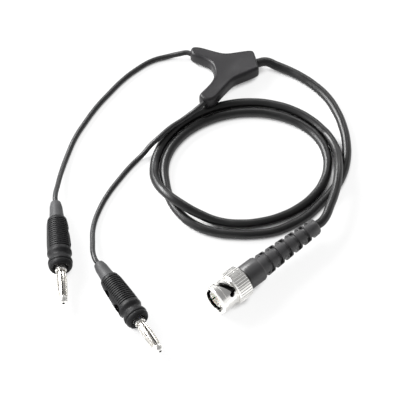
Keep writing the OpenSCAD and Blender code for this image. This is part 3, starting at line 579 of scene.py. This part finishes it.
def ease_edges(piece, width, segments, angle):
    """Rounds every edge sharper than an angle, with an applied bevel."""
    take(piece)
    ease = piece.modifiers.new("ease", "BEVEL")
    ease.width = width * MM
    ease.segments = segments
    ease.limit_method = "ANGLE"
    ease.angle_limit = math.radians(angle)
    ease.use_clamp_overlap = True
    bpy.ops.object.modifier_apply(modifier="ease")


def put(piece, matrix, angle=40.0):
    """Moves a finished piece from its own axis to its place, in its mesh, and smooths it."""
    take(piece)
    piece.matrix_world = matrix
    bpy.ops.object.transform_apply(location=True, rotation=True, scale=True)
    smooth(piece, angle)
    return piece


# ---------------------------------------------------------------- cable routes

# Shift of the bench's own origin, on which the routes are laid out, to the part's.
HOME = Vector((6.84, 2.83, 0.0))

# The housing leans by TILT about its far end, JUNCTION_FAR along Y.
TILT = math.radians(8.7)
JUNCTION_FAR = 73.3
HALF_HOUSING = 2.9

# Ends of the housing's arms, and the points inside it that they run from.
COAX_ROOT, COAX_ARM = (12.6, 64.8), (24.0, 67.4)
SIGNAL_ROOT, SIGNAL_ARM = (11.0, 67.0), (-4.0, 73.0)
GROUND_ROOT, GROUND_ARM = (14.4, 63.6), (2.9, 46.0)

# Outline of the housing where its shells meet, from the signal arm round the coaxial arm.
HOUSING_OUTLINE = [
    (-3.8, 74.3), (-2.6, 75), (0.2, 74.8), (5, 72.8), (9.8, 71), (12.6, 71.2), (17.4, 72.3),
    (21.4, 73), (22.7, 72.4), (23.2, 71), (24.9, 63.4), (24.9, 62.3), (24.2, 61.3), (19.4, 58.6),
    (14.6, 56), (13.2, 54.4), (8.1, 46.9), (6.7, 44.4), (4.2, 43), (2, 43.4), (-0.2, 45.4),
    (-0.7, 46.8), (2.7, 51), (5, 54.5), (5.9, 57.5), (5.9, 60.5), (5.4, 63.6), (4.1, 66),
    (0.6, 68.2), (-2.5, 69.3), (-4.4, 71.2)]

# Each route point is x, y and the gap under the cable.
LEAD_IN = [(32.2, 67.5, 0.6), (37.2, 65.4, 0), (42.4, 62.2, 0), (47.8, 57.9, 0), (53.2, 52, 0),
           (57.4, 44.4, 0), (60.2, 36.2, 0), (61.6, 28, 0), (61.5, 19.4, 0), (59.6, 11, 0),
           (56, 3.8, 0), (51, -2.8, 0), (44.8, -9.7, 0), (38, -14.3, 0), (31.5, -17.35, 0)]
LEAD_OUT = [(57.4, 22.5, 1.7), (58.2, 15.6, 3.6), (58.0, 8, 4.6), (56.9, 0.4, 4.9),
            (54.8, -7.2, 5.2)]
SIGNAL = [(-8.6, 73.8, 1.2), (-13.4, 73.2, 0.2), (-19.9, 71.2, 0), (-26.5, 66.7, 0),
          (-32.7, 60.9, 0), (-38.3, 54.1, 0), (-43.6, 47, 0), (-48.3, 39.2, 0), (-52.5, 31.2, 0),
          (-55.6, 22.6, 0), (-58.1, 13.6, 0.8), (-59.7, 5.4, 2.4)]
GROUND = [(-6.9, 37.6, 4.6), (-12.3, 33.4, 4.4), (-17.4, 28.2, 4.1), (-20.6, 25.6, 2.8),
          (-23.9, 22.3, 0.8), (-28.8, 17, 0), (-34, 9.6, 0), (-38.6, 2.2, 0),
          (-42.3, -6, 0.1), (-44.6, -14.4, 0.6), (-45, -23, 1.9)]
# Each lead's arm, root, route, and the share of two lead radii by which it leaves straight.
LEADS = {"signal": (SIGNAL_ARM, SIGNAL_ROOT, SIGNAL, 0.7),
         "ground": (GROUND_ARM, GROUND_ROOT, GROUND, 1.2)}

# The coil: its centre, half axes and lean, and its angles in degrees: first, last and step.
COIL_CENTRE, COIL_HALF, COIL_LEAN = (19.15, 15.3), (34.1, 28.5), 0.08
COIL_FROM, COIL_TO, COIL_STEP = 90, 684, 15
# Shifts outwards: how far, the angles over which each comes in and those over which it goes.
COIL_SHIFTS = ((5.8, -1, 0, 108, 172), (4.3, 466, 530, 900, 901),
               (0.6, 548, 625, 628, 684), (0.4, 290, 340, 460, 520))
# Where the second loop rises over the first, over how many degrees to each side, and its gap.
CROSSING, CROSSING_REACH, CROSSING_GAP = 503, 44, 0.75


def on_junction(point):
    """A point of the housing's middle plane."""
    y = point[1] - JUNCTION_FAR
    return HOME + Vector((point[0],
                          JUNCTION_FAR + y * math.cos(TILT) + HALF_HOUSING * math.sin(TILT),
                          HALF_HOUSING * math.cos(TILT) - y * math.sin(TILT)))


def junction_place():
    """The housing's own axes: its middle plane, tilted about its far end."""
    far_end = Matrix.Translation((HOME + Vector((0, JUNCTION_FAR, 0))) * MM)
    return (far_end @ Matrix.Rotation(-TILT, 4, "X")
            @ Matrix.Translation((0, 0, HALF_HOUSING * MM)))


def arm_way(at, root):
    return (on_junction(at) - on_junction(root)).normalized()


def on_bench(route, radius):
    """A route's points at the height of the cable's middle."""
    return [Vector((x, y, lift + radius)) + HOME for x, y, lift in route]


def blend(x, a, b):
    """A smooth step from 0 at a to 1 at b."""
    t = max(0.0, min(1.0, (x - a) / (b - a)))
    return t * t * (3 - 2 * t)


def coil_point(phi):
    """The coil's centre line: phi runs clockwise, seen from above, from the loops' right side."""
    a, b = COIL_HALF
    shift = sum(far * blend(phi, come, here) * (1 - blend(phi, leave, gone))
                for far, come, here, leave, gone in COIL_SHIFTS)
    over = abs(phi - CROSSING) / CROSSING_REACH
    lift = 0.5 + 0.5 * math.cos(math.pi * over) if over < 1 else 0.0
    c, s = math.cos(math.radians(phi)), math.sin(math.radians(phi))
    ring = Vector((COIL_CENTRE[0] + a * c - COIL_LEAN * b * s, COIL_CENTRE[1] - b * s,
                   COAX_R + (2 * COAX_R + CROSSING_GAP) * lift))
    return ring + Vector((c / a, -s / b, 0)).normalized() * shift + HOME


def coil_way(phi):
    return (coil_point(phi + 0.5) - coil_point(phi - 0.5)).normalized()


def coax_route():
    """From the junction round the coil to the boot, straight for one diameter at each end."""
    exit_at = on_junction(COAX_ARM)
    boot_end = BNC_RIM / MM + BNC_BACK * PLUG_L
    return ([exit_at, exit_at + 2 * COAX_R * arm_way(COAX_ARM, COAX_ROOT)]
            + on_bench(LEAD_IN, COAX_R)
            + [coil_point(COIL_FROM) - 2 * COAX_R * coil_way(COIL_FROM)]
            + [coil_point(phi) for phi in range(COIL_FROM, COIL_TO, COIL_STEP)]
            + [coil_point(COIL_TO), coil_point(COIL_TO) + 2 * COAX_R * coil_way(COIL_TO)]
            + on_bench(LEAD_OUT, COAX_R)
            + [boot_end + 2 * COAX_R * BNC_BACK, boot_end])


def lead_route(side):
    """From the junction to a banana plug's tail sleeve."""
    arm, root, route, straight = LEADS[side]
    exit_at = on_junction(arm)
    tip, forward, _ = PLUGS[side]
    plug_end = tip / MM - forward * BANANA_L
    return ([exit_at, exit_at + straight * 2 * LEAD_R * arm_way(arm, root)]
            + on_bench(route, LEAD_R)
            + [plug_end - 2.4 * LEAD_R * forward, plug_end])


def cable(name, route, radius):
    """A cable as one smooth open curve along its route."""
    line = bpy.data.curves.new(name, "CURVE")
    line.dimensions = "3D"
    line.resolution_u = 10
    line.bevel_depth = radius * MM
    line.bevel_resolution = 6
    line.use_fill_caps = True
    spline = line.splines.new("BEZIER")
    spline.bezier_points.add(len(route) - 1)
    for knot, at in zip(spline.bezier_points, route):
        knot.co = at * MM
        knot.handle_left_type = knot.handle_right_type = "AUTO"
    piece = bpy.data.objects.new(name, line)
    bpy.context.collection.objects.link(piece)
    spline.use_smooth = True
    return piece


def length_of(piece):
    """Length of a cable's centre line, in metres."""
    bare = piece.data.copy()
    bare.bevel_depth = 0
    probe = bpy.data.objects.new("probe", bare)
    bpy.context.collection.objects.link(probe)
    mesh = probe.evaluated_get(bpy.context.evaluated_depsgraph_get()).to_mesh()
    at = [vertex.co for vertex in mesh.vertices]
    total = sum((at[edge.vertices[0]] - at[edge.vertices[1]]).length for edge in mesh.edges)
    bpy.data.objects.remove(probe)
    bpy.data.curves.remove(bare)
    return total


# ---------------------------------------------------------------- operators

class LEAD_OT_coax_cable(bpy.types.Operator):
    """Coaxial cable from the junction through two loops to the BNC plug's boot"""
    bl_idname = "lead.coax_cable"
    bl_label = "Coaxial cable"

    def execute(self, context):
        route = coax_route()
        diameter = context.scene.lead_cables.coax_diameter
        piece = cable("coax_cable", route, diameter / 2 / MM)
        settle(piece, "lead_set", "coax_jacket", "coax_lead_in", "coax_coil", "coax_lead_out")
        repaint("coax_plug_end", "coax_jacket")
        repaint("coax_junction_end", "coax_jacket")
        length_of(piece)
        return {"FINISHED"}


class LEAD_OT_single_leads(bpy.types.Operator):
    """The two single-core leads from the junction to the banana plugs"""
    bl_idname = "lead.single_leads"
    bl_label = "Single-core leads"

    def execute(self, context):
        diameter = context.scene.lead_cables.lead_diameter
        for side in LEADS:
            route = lead_route(side)
            piece = cable(side + "_cable", route, diameter / 2 / MM)
            settle(piece, "lead_set", "lead_insulation", side + "_lead")
            repaint(side + "_lead_end", "lead_insulation")
            repaint(side + "_junction_end", "lead_insulation")
            length_of(piece)
        return {"FINISHED"}


class LEAD_OT_junction_housing(bpy.types.Operator):
    """The moulded Y junction, in two shells with eased edges"""
    bl_idname = "lead.junction_housing"
    bl_label = "Junction housing"

    def execute(self, context):
        edge = context.scene.lead_housing.edge / MM
        for half, side in (("upper", 1), ("lower", -1)):
            piece = put(self.half_shell("housing_" + half, edge, side), junction_place(), 50.0)
            settle(piece, "lead_set", "junction_plastic", "junction_" + half + "_shell")
        # The splices take the darker nickel, a painted shade for parts inside the housing.
        for splice in ("signal_splice", "ground_splice"):
            repaint(splice, "nickel_inner")
        return {"FINISHED"}

    @staticmethod
    def half_shell(name, edge, side):
        """One shell: the housing's outline drawn out, stepped in at its face and rounded."""
        piece = start_shape(name, 10.0, 0, len(HOUSING_OUTLINE), "NGON")
        for i, (x, y) in enumerate(HOUSING_OUTLINE):
            pick(piece, "VERT", lambda middle, vertex, i=i: vertex.index == i)
            at = bmesh.from_edit_mesh(piece.data).verts[:][i].co
            bpy.ops.transform.translate(value=Vector((x, y - JUNCTION_FAR, 0)) * MM - at)
        bpy.ops.mesh.select_all(action="SELECT")
        draw_out(side * SHELL_WALL * HALF_HOUSING)
        for rise, inward in SHELL_STEPS:
            bpy.ops.mesh.inset(thickness=inward * edge * MM, depth=0)
            bpy.ops.transform.translate(value=(0, 0, side * rise * HALF_HOUSING * MM))
        pick(piece, "FACE", lambda middle, face: len(face.verts) == len(HOUSING_OUTLINE))
        bpy.ops.mesh.delete(type="ONLY_FACE")
        bpy.ops.object.mode_set(mode="OBJECT")
        rounding = piece.modifiers.new("rounding", "SUBSURF")
        rounding.levels = rounding.render_levels = 2
        bpy.ops.object.modifier_apply(modifier="rounding")
        bpy.ops.object.mode_set(mode="EDIT")
        for level in (0, HALF_HOUSING):
            pick(piece, "EDGE",
                 lambda middle, edge: edge.is_boundary and abs(abs(middle.z) - level) < 0.01)
            bpy.ops.mesh.edge_face_add()
        bpy.ops.mesh.select_all(action="SELECT")
        bpy.ops.mesh.normals_make_consistent(inside=False)
        bpy.ops.object.mode_set(mode="OBJECT")
        return piece


class LEAD_OT_bnc_plug(bpy.types.Operator):
    """The BNC plug: coupling nut, contacts, insulators and boot"""
    bl_idname = "lead.bnc_plug"
    bl_label = "BNC plug"

    def execute(self, context):
        for node, body, slot, look in (
                ("bnc_coupling_nut", "coupling_nut", "nickel_shell", None),
                ("bnc_front_insulator", "lead_set", "white_insulator", None),
                ("bnc_centre_pin", "lead_set", "gold_pin", None),
                ("bnc_outer_contact", "lead_set", "nickel_contact", "outer_contact")):
            piece = merged_copy(node, node.replace("bnc_", "coax_plug_"))
            settle(piece, body, slot, node, look=look)
        settle(self.boot(), "lead_set", "boot_rubber", "bnc_boot")
        # Parts inside the plug take the darker nickel, a painted shade.
        for node, slot in (
                ("bnc_plug_body", "nickel_inner"), ("bnc_retaining_ring", "nickel_inner"),
                ("bnc_thrust_washer", "nickel_inner"), ("bnc_wave_spring", "spring_steel"),
                ("bnc_face_gasket", "gasket_rubber"), ("bnc_rear_insulator", "white_insulator"),
                ("bnc_crimp_ferrule", "nickel_inner")):
            repaint(node, slot)
        return {"FINISHED"}

    def boot(self):
        """The strain relief: a smooth sleeve, then slots and notches that alternate."""
        cuts = []
        for i in range(BOOT_CUTS):
            half, half_arc, depth = NOTCH if i % 2 else SLOT
            middle = CUTS_FROM + CUT_PITCH * i
            cuts.append((middle - half, middle + half, half_arc, depth, 90 * (i % 2)))
        outer = [(4.9, 16.6), (5.3, 16.65), (5.55, 17.2), (5.55, 24.2), (5.3, 24.5), (5.25, 24.9)]
        for low, high, *_ in cuts:
            outer += [(self.boot_radius(low), low), (self.boot_radius(high), high)]
        outer += [(self.boot_radius(56.2), 56.2), (3.3, PLUG_L)]
        inner = [(2.0, PLUG_L), (2.0, 30.0), (4.15, 29.6), (4.15, 16.6)]
        piece = turned("coax_plug_boot", outer + inner)
        for low, high, half_arc, depth, quarter in cuts:
            for side in (0, 180):
                self.cut(piece, low, high, BOOT_ROLL + side + quarter, half_arc, depth)
        bpy.ops.object.mode_set(mode="OBJECT")
        ease_edges(piece, 0.42, 5, 35.0)
        return put(piece, bnc_place())

    @staticmethod
    def boot_radius(station):
        """Half the boot's thickness behind its smooth sleeve, where it tapers."""
        t = (station - TAPER_FROM) / (PLUG_L - TAPER_FROM)
        return (TAPER_WIDE - TAPER_BY * max(t, 0) ** TAPER_POWER) / 2

    def cut(self, piece, low, high, centre, half_arc, depth):
        """Sinks one slot or notch into the boot's surface."""
        middle_station = (low + high) / 2
        surface = self.boot_radius(middle_station)

        def inside(middle, face):
            angle = math.degrees(math.atan2(middle.y, middle.x)) - centre
            angle = (angle + 180) % 360 - 180
            return (low < middle.z < high and abs(angle) < half_arc
                    and middle.xy.length > surface - 0.2)

        pick(piece, "FACE", inside)
        draw_out(0)
        widen((surface - depth) / surface, middle_station)


class LEAD_OT_banana_plugs(bpy.types.Operator):
    """Both stackable banana plugs: tail sleeve, ribbed grip, contact and sprung cage"""
    bl_idname = "lead.banana_plugs"
    bl_label = "Banana plugs"

    def execute(self, context):
        grip = self.grip()
        cage = self.cage()
        for side in PLUGS:
            for part, model, slot in (("grip", grip, "grip_plastic"),
                                      ("contact_cage", cage, "spring_contact")):
                piece = model.copy()
                piece.data = model.data.copy()
                piece.name = piece.data.name = side + "_plug_" + part
                context.collection.objects.link(piece)
                settle(put(piece, banana_place(side)), "lead_set", slot, side + "_" + part)
            for part, slot, look in (("tail_sleeve", "sleeve_plastic", None),
                                     ("contact_body", "nickel_contact", side + "_contact")):
                node = side + "_" + part
                settle(merged_copy(node, side + "_plug_" + part), "lead_set", slot, node, look=look)
            repaint(side + "_clamp_screw", "screw_steel")
        for model in (grip, cage):
            bpy.data.objects.remove(model)
        return {"FINISHED"}

    @staticmethod
    def grip_radius(station):
        """Half the grip's thickness: a broken line, smoothed over two millimetres."""
        def straight(s):
            s = max(GRIP_LINE[0][0], min(GRIP_LINE[-1][0], s))
            for (a, ra), (b, rb) in zip(GRIP_LINE, GRIP_LINE[1:]):
                if s <= b:
                    return ra + (rb - ra) * (s - a) / (b - a)

        return sum(straight(station + d) for d in (-1, -0.5, 0, 0.5, 1)) / 5

    def grip(self):
        """The insulating grip: ribbed, with a waist, a collar and two side openings."""
        outer = [(3.2, 8.6), (3.5, 8.62), (3.8, 8.8), (self.grip_radius(9.3), 9.3)]
        ribs = [(RIBS_FROM + RIB_PITCH * i, RIBS_FROM + RIB_PITCH * (i + 0.5))
                for i in range(RIBS)]
        for low, high in ribs:
            outer += [(self.grip_radius(low), low), (self.grip_radius(high), high)]
        waist = [(5.2, 25.7), (5.3, 25.95), (5.28, 26.6), (4.95, 27.3), (4.6, 28.1), (4.55, 28.6)]
        collar = [(4.72, 29.2), (5.05, 29.9), (5.2, 30.5), (5.25, 30.95), (5.2, 31.3),
                  (4.98, 31.42), (4.92, 31.6), (4.98, 31.78), (5.12, 31.95), (5.1, 32.4),
                  (4.85, 33.2), (4.5, 33.8), (4.15, 34.0)]
        inner = [(3.95, 33.95), (2.9, 32.9), (2.9, 31.3), (3.4, 31.25), (3.4, 11.25), (2.6, 11.2),
                 (2.6, 8.6)]
        piece = turned("grip_model", outer + waist + collar + inner)
        for low, high in ribs:
            pick(piece, "FACE", lambda middle, face: low < middle.z < high
                 and abs(middle.x) < RIB_HALF_WIDTH and middle.xy.length > 3.7)
            draw_out(0)
            widen(1 - RIB_DEPTH / self.grip_radius(low), (low + high) / 2)
        bpy.ops.object.mode_set(mode="OBJECT")
        ease_edges(piece, 0.09, 2, 35.0)
        for station, radius in GRIP_OPENINGS:
            self.opening(piece, station, radius)
        return piece

    @staticmethod
    def opening(piece, station, radius):
        """Cuts a round opening into the grip's side."""
        deselect()
        bpy.ops.mesh.primitive_cylinder_add(
            vertices=48, radius=radius * MM, depth=4 * MM, location=(4.9 * MM, 0, station * MM),
            rotation=(0, math.radians(90), 0))
        drill = bpy.context.object
        take(piece)
        cut = piece.modifiers.new("opening", "BOOLEAN")
        cut.operation, cut.solver, cut.object = "DIFFERENCE", "EXACT", drill
        bpy.ops.object.modifier_apply(modifier="opening")
        bpy.data.objects.remove(drill)

    @staticmethod
    def cage():
        """The sprung cage: a thin barrel with lengthwise slits through its wall."""
        wall = []
        for k in range(CAGE_RINGS + 1):
            t = k / CAGE_RINGS
            bulge = CAGE_BULGE * math.sin(math.pi * t ** 0.8) ** 0.7 if 0 < t < 1 else 0
            wall.append((CAGE_END_R + bulge, CAGE_FROM + (CAGE_TO - CAGE_FROM) * t))
        piece = turned("cage_model", wall + [(r - CAGE_WALL, s) for r, s in reversed(wall)],
                       CAGE_SIDES)

        def in_slit(middle, face):
            angle = math.degrees(math.atan2(middle.y, middle.x)) % (360 / SLITS)
            return (min(angle, 360 / SLITS - angle) < SLIT_HALF
                    and CAGE_FROM + SLIT_MARGIN < middle.z < CAGE_TO - SLIT_MARGIN)

        pick(piece, "FACE", in_slit)
        bpy.ops.mesh.delete(type="FACE")
        for i in range(SLITS):
            turn = 2 * math.pi * i / SLITS
            centre = Vector((math.cos(turn), math.sin(turn)))
            pick(piece, "EDGE", lambda middle, edge: edge.is_boundary
                 and middle.xy.normalized().dot(centre) > 0.97)
            bpy.ops.mesh.bridge_edge_loops()
        bpy.ops.mesh.select_all(action="SELECT")
        bpy.ops.mesh.normals_make_consistent(inside=False)
        bpy.ops.object.mode_set(mode="OBJECT")
        ease_edges(piece, 0.05, 2, 50.0)
        return piece


class LEAD_OT_stage(bpy.types.Operator):
    """Floor, surroundings, lamps and camera"""
    bl_idname = "lead.stage"
    bl_label = "Stage"

    def execute(self, context):
        settings = context.scene.lead_stage
        self.floor(settings)
        self.surroundings(context, settings)
        for lamp, level in (("key_lamp", settings.key), ("side_lamp", settings.side),
                            ("rear_lamp", settings.rear)):
            self.lamp(lamp, *LAMPS[lamp], level)
        self.camera(context)
        context.scene.view_settings.view_transform = "Standard"
        return {"FINISHED"}

    @staticmethod
    def reckon(tree, operation, first, second):
        """A Math node between two outputs, or an output and a number."""
        node = tree.nodes.new("ShaderNodeMath")
        node.operation = operation
        tree.links.new(first, node.inputs[0])
        if isinstance(second, float):
            node.inputs[1].default_value = second
        else:
            tree.links.new(second, node.inputs[1])
        return node.outputs[0]

    @staticmethod
    def spread(tree, value, **span):
        """A Map Range node on an output."""
        node = tree.nodes.new("ShaderNodeMapRange")
        for socket, number in span.items():
            node.inputs[socket.replace("_", " ")].default_value = number
        tree.links.new(value, node.inputs["Value"])
        return node

    def floor(self, settings):
        """A plane that is white to the camera, keeps soft shadows and is dark in narrow gaps."""
        deselect()
        bpy.ops.mesh.primitive_plane_add(size=settings.floor_size, location=(0, 0, FLOOR_LEVEL))
        piece = bpy.context.object
        piece.name = "studio_floor"
        material = bpy.data.materials.new("studio_floor")
        material.use_nodes = True
        tree = material.node_tree
        tree.nodes.clear()
        rays = tree.nodes.new("ShaderNodeLightPath").outputs
        mirrored = self.reckon(tree, "MULTIPLY", rays["Is Glossy Ray"], MIRRORED_GLOW)
        seen = self.reckon(tree, "MAXIMUM", rays["Is Camera Ray"], mirrored)
        seen = self.reckon(tree, "MAXIMUM", seen, rays["Is Transmission Ray"])
        glowing = self.reckon(tree, "MULTIPLY", seen, FLOOR_GLOW)
        cover = tree.nodes.new("ShaderNodeAmbientOcclusion")
        cover.samples = 16
        cover.inputs["Distance"].default_value = NOOK * MM
        bare = self.spread(tree, cover.outputs["AO"], From_Min=0.28, From_Max=0.62)
        lit = self.reckon(tree, "MULTIPLY", glowing, bare.outputs["Result"])
        matt = tree.nodes.new("ShaderNodeBsdfDiffuse")
        matt.inputs["Color"].default_value = (*settings.floor, 1.0)
        glow = tree.nodes.new("ShaderNodeEmission")
        glow.inputs["Color"].default_value = (1, 1, 1, 1)
        glow.inputs["Strength"].default_value = 1.0
        mix = tree.nodes.new("ShaderNodeMixShader")
        for source, socket in ((lit, 0), (matt.outputs[0], 1), (glow.outputs[0], 2)):
            tree.links.new(source, mix.inputs[socket])
        output = tree.nodes.new("ShaderNodeOutputMaterial")
        tree.links.new(mix.outputs[0], output.inputs["Surface"])
        piece.data.materials.append(material)

    def surroundings(self, context, settings):
        """A pale backdrop all round that darkens towards the ceiling, and white to the camera."""
        world = bpy.data.worlds.new("studio")
        context.scene.world = world
        world.use_nodes = True
        tree = world.node_tree
        sky = tree.nodes["Background"]
        sky.inputs["Color"].default_value = (1, 1, 1, 1)
        split = tree.nodes.new("ShaderNodeSeparateXYZ")
        way = tree.nodes.new("ShaderNodeTexCoord")
        tree.links.new(way.outputs["Generated"], split.inputs[0])
        height = self.spread(tree, split.outputs["Z"], From_Min=SKY_FROM, From_Max=SKY_TO,
                             To_Min=1.0, To_Max=settings.fill)
        height.interpolation_type = "SMOOTHSTEP"
        rays = tree.nodes.new("ShaderNodeLightPath").outputs
        level = self.reckon(tree, "MAXIMUM", rays["Is Camera Ray"], height.outputs["Result"])
        tree.links.new(level, sky.inputs["Strength"])

    @staticmethod
    def lamp(name, at, wide, high, power, level):
        """A rectangular lamp that faces the part."""
        lamp = bpy.data.lights.new(name, "AREA")
        lamp.shape = "RECTANGLE"
        lamp.size, lamp.size_y = wide, high
        lamp.energy = power * level
        piece = bpy.data.objects.new(name, lamp)
        bpy.context.collection.objects.link(piece)
        piece.location = at
        piece.rotation_euler = (-Vector(at)).to_track_quat("-Z", "Y").to_euler()

    @staticmethod
    def camera(context):
        """A long lens that looks down on the part from the front."""
        elevation = math.radians(CAMERA_ELEVATION)
        lens = bpy.data.cameras.new("camera")
        lens.sensor_width = SENSOR
        lens.lens = SENSOR * CAMERA_DISTANCE / CAMERA_VIEW
        lens.clip_end = 20.0
        piece = bpy.data.objects.new("camera", lens)
        context.collection.objects.link(piece)
        piece.location = (HOME.x * MM, HOME.y * MM - CAMERA_DISTANCE * math.cos(elevation),
                          CAMERA_DISTANCE * math.sin(elevation))
        piece.rotation_euler = (math.radians(90) - elevation, 0, 0)
        context.scene.camera = piece


class LEAD_PT_panel(bpy.types.Panel):
    """Lists the pieces of the adapter lead and their settings"""
    bl_idname = "LEAD_PT_panel"
    bl_label = "Adapter Lead"
    bl_space_type = "VIEW_3D"
    bl_region_type = "UI"
    bl_category = "Adapter Lead"

    def draw(self, context):
        for operator in OPERATORS:
            self.layout.operator(operator.bl_idname)
        for group in SETTINGS:
            box = self.layout.box()
            held = getattr(context.scene, group)
            for prop in held.bl_rna.properties:
                if prop.identifier not in ("rna_type", "name"):
                    box.prop(held, prop.identifier)


SETTINGS = {"lead_cables": CableSettings, "lead_housing": HousingSettings,
            "lead_plugs": PlugSettings, "lead_metals": MetalSettings, "lead_stage": StageSettings}
OPERATORS = (LEAD_OT_stage, LEAD_OT_coax_cable, LEAD_OT_single_leads, LEAD_OT_junction_housing,
             LEAD_OT_bnc_plug, LEAD_OT_banana_plugs)


def register():
    for cls in (*SETTINGS.values(), *OPERATORS, LEAD_PT_panel):
        bpy.utils.register_class(cls)
    for name, cls in SETTINGS.items():
        setattr(bpy.types.Scene, name, bpy.props.PointerProperty(type=cls))


def unregister():
    for name in SETTINGS:
        delattr(bpy.types.Scene, name)
    for cls in reversed((*SETTINGS.values(), *OPERATORS, LEAD_PT_panel)):
        bpy.utils.unregister_class(cls)


def main():
    """Registers the classes and builds the pieces in order."""
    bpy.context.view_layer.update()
    register()
    bpy.ops.lead.stage()
    bpy.ops.lead.coax_cable()
    bpy.ops.lead.single_leads()
    bpy.ops.lead.junction_housing()
    bpy.ops.lead.bnc_plug()
    bpy.ops.lead.banana_plugs()


if __name__ == "__main__":
    main()
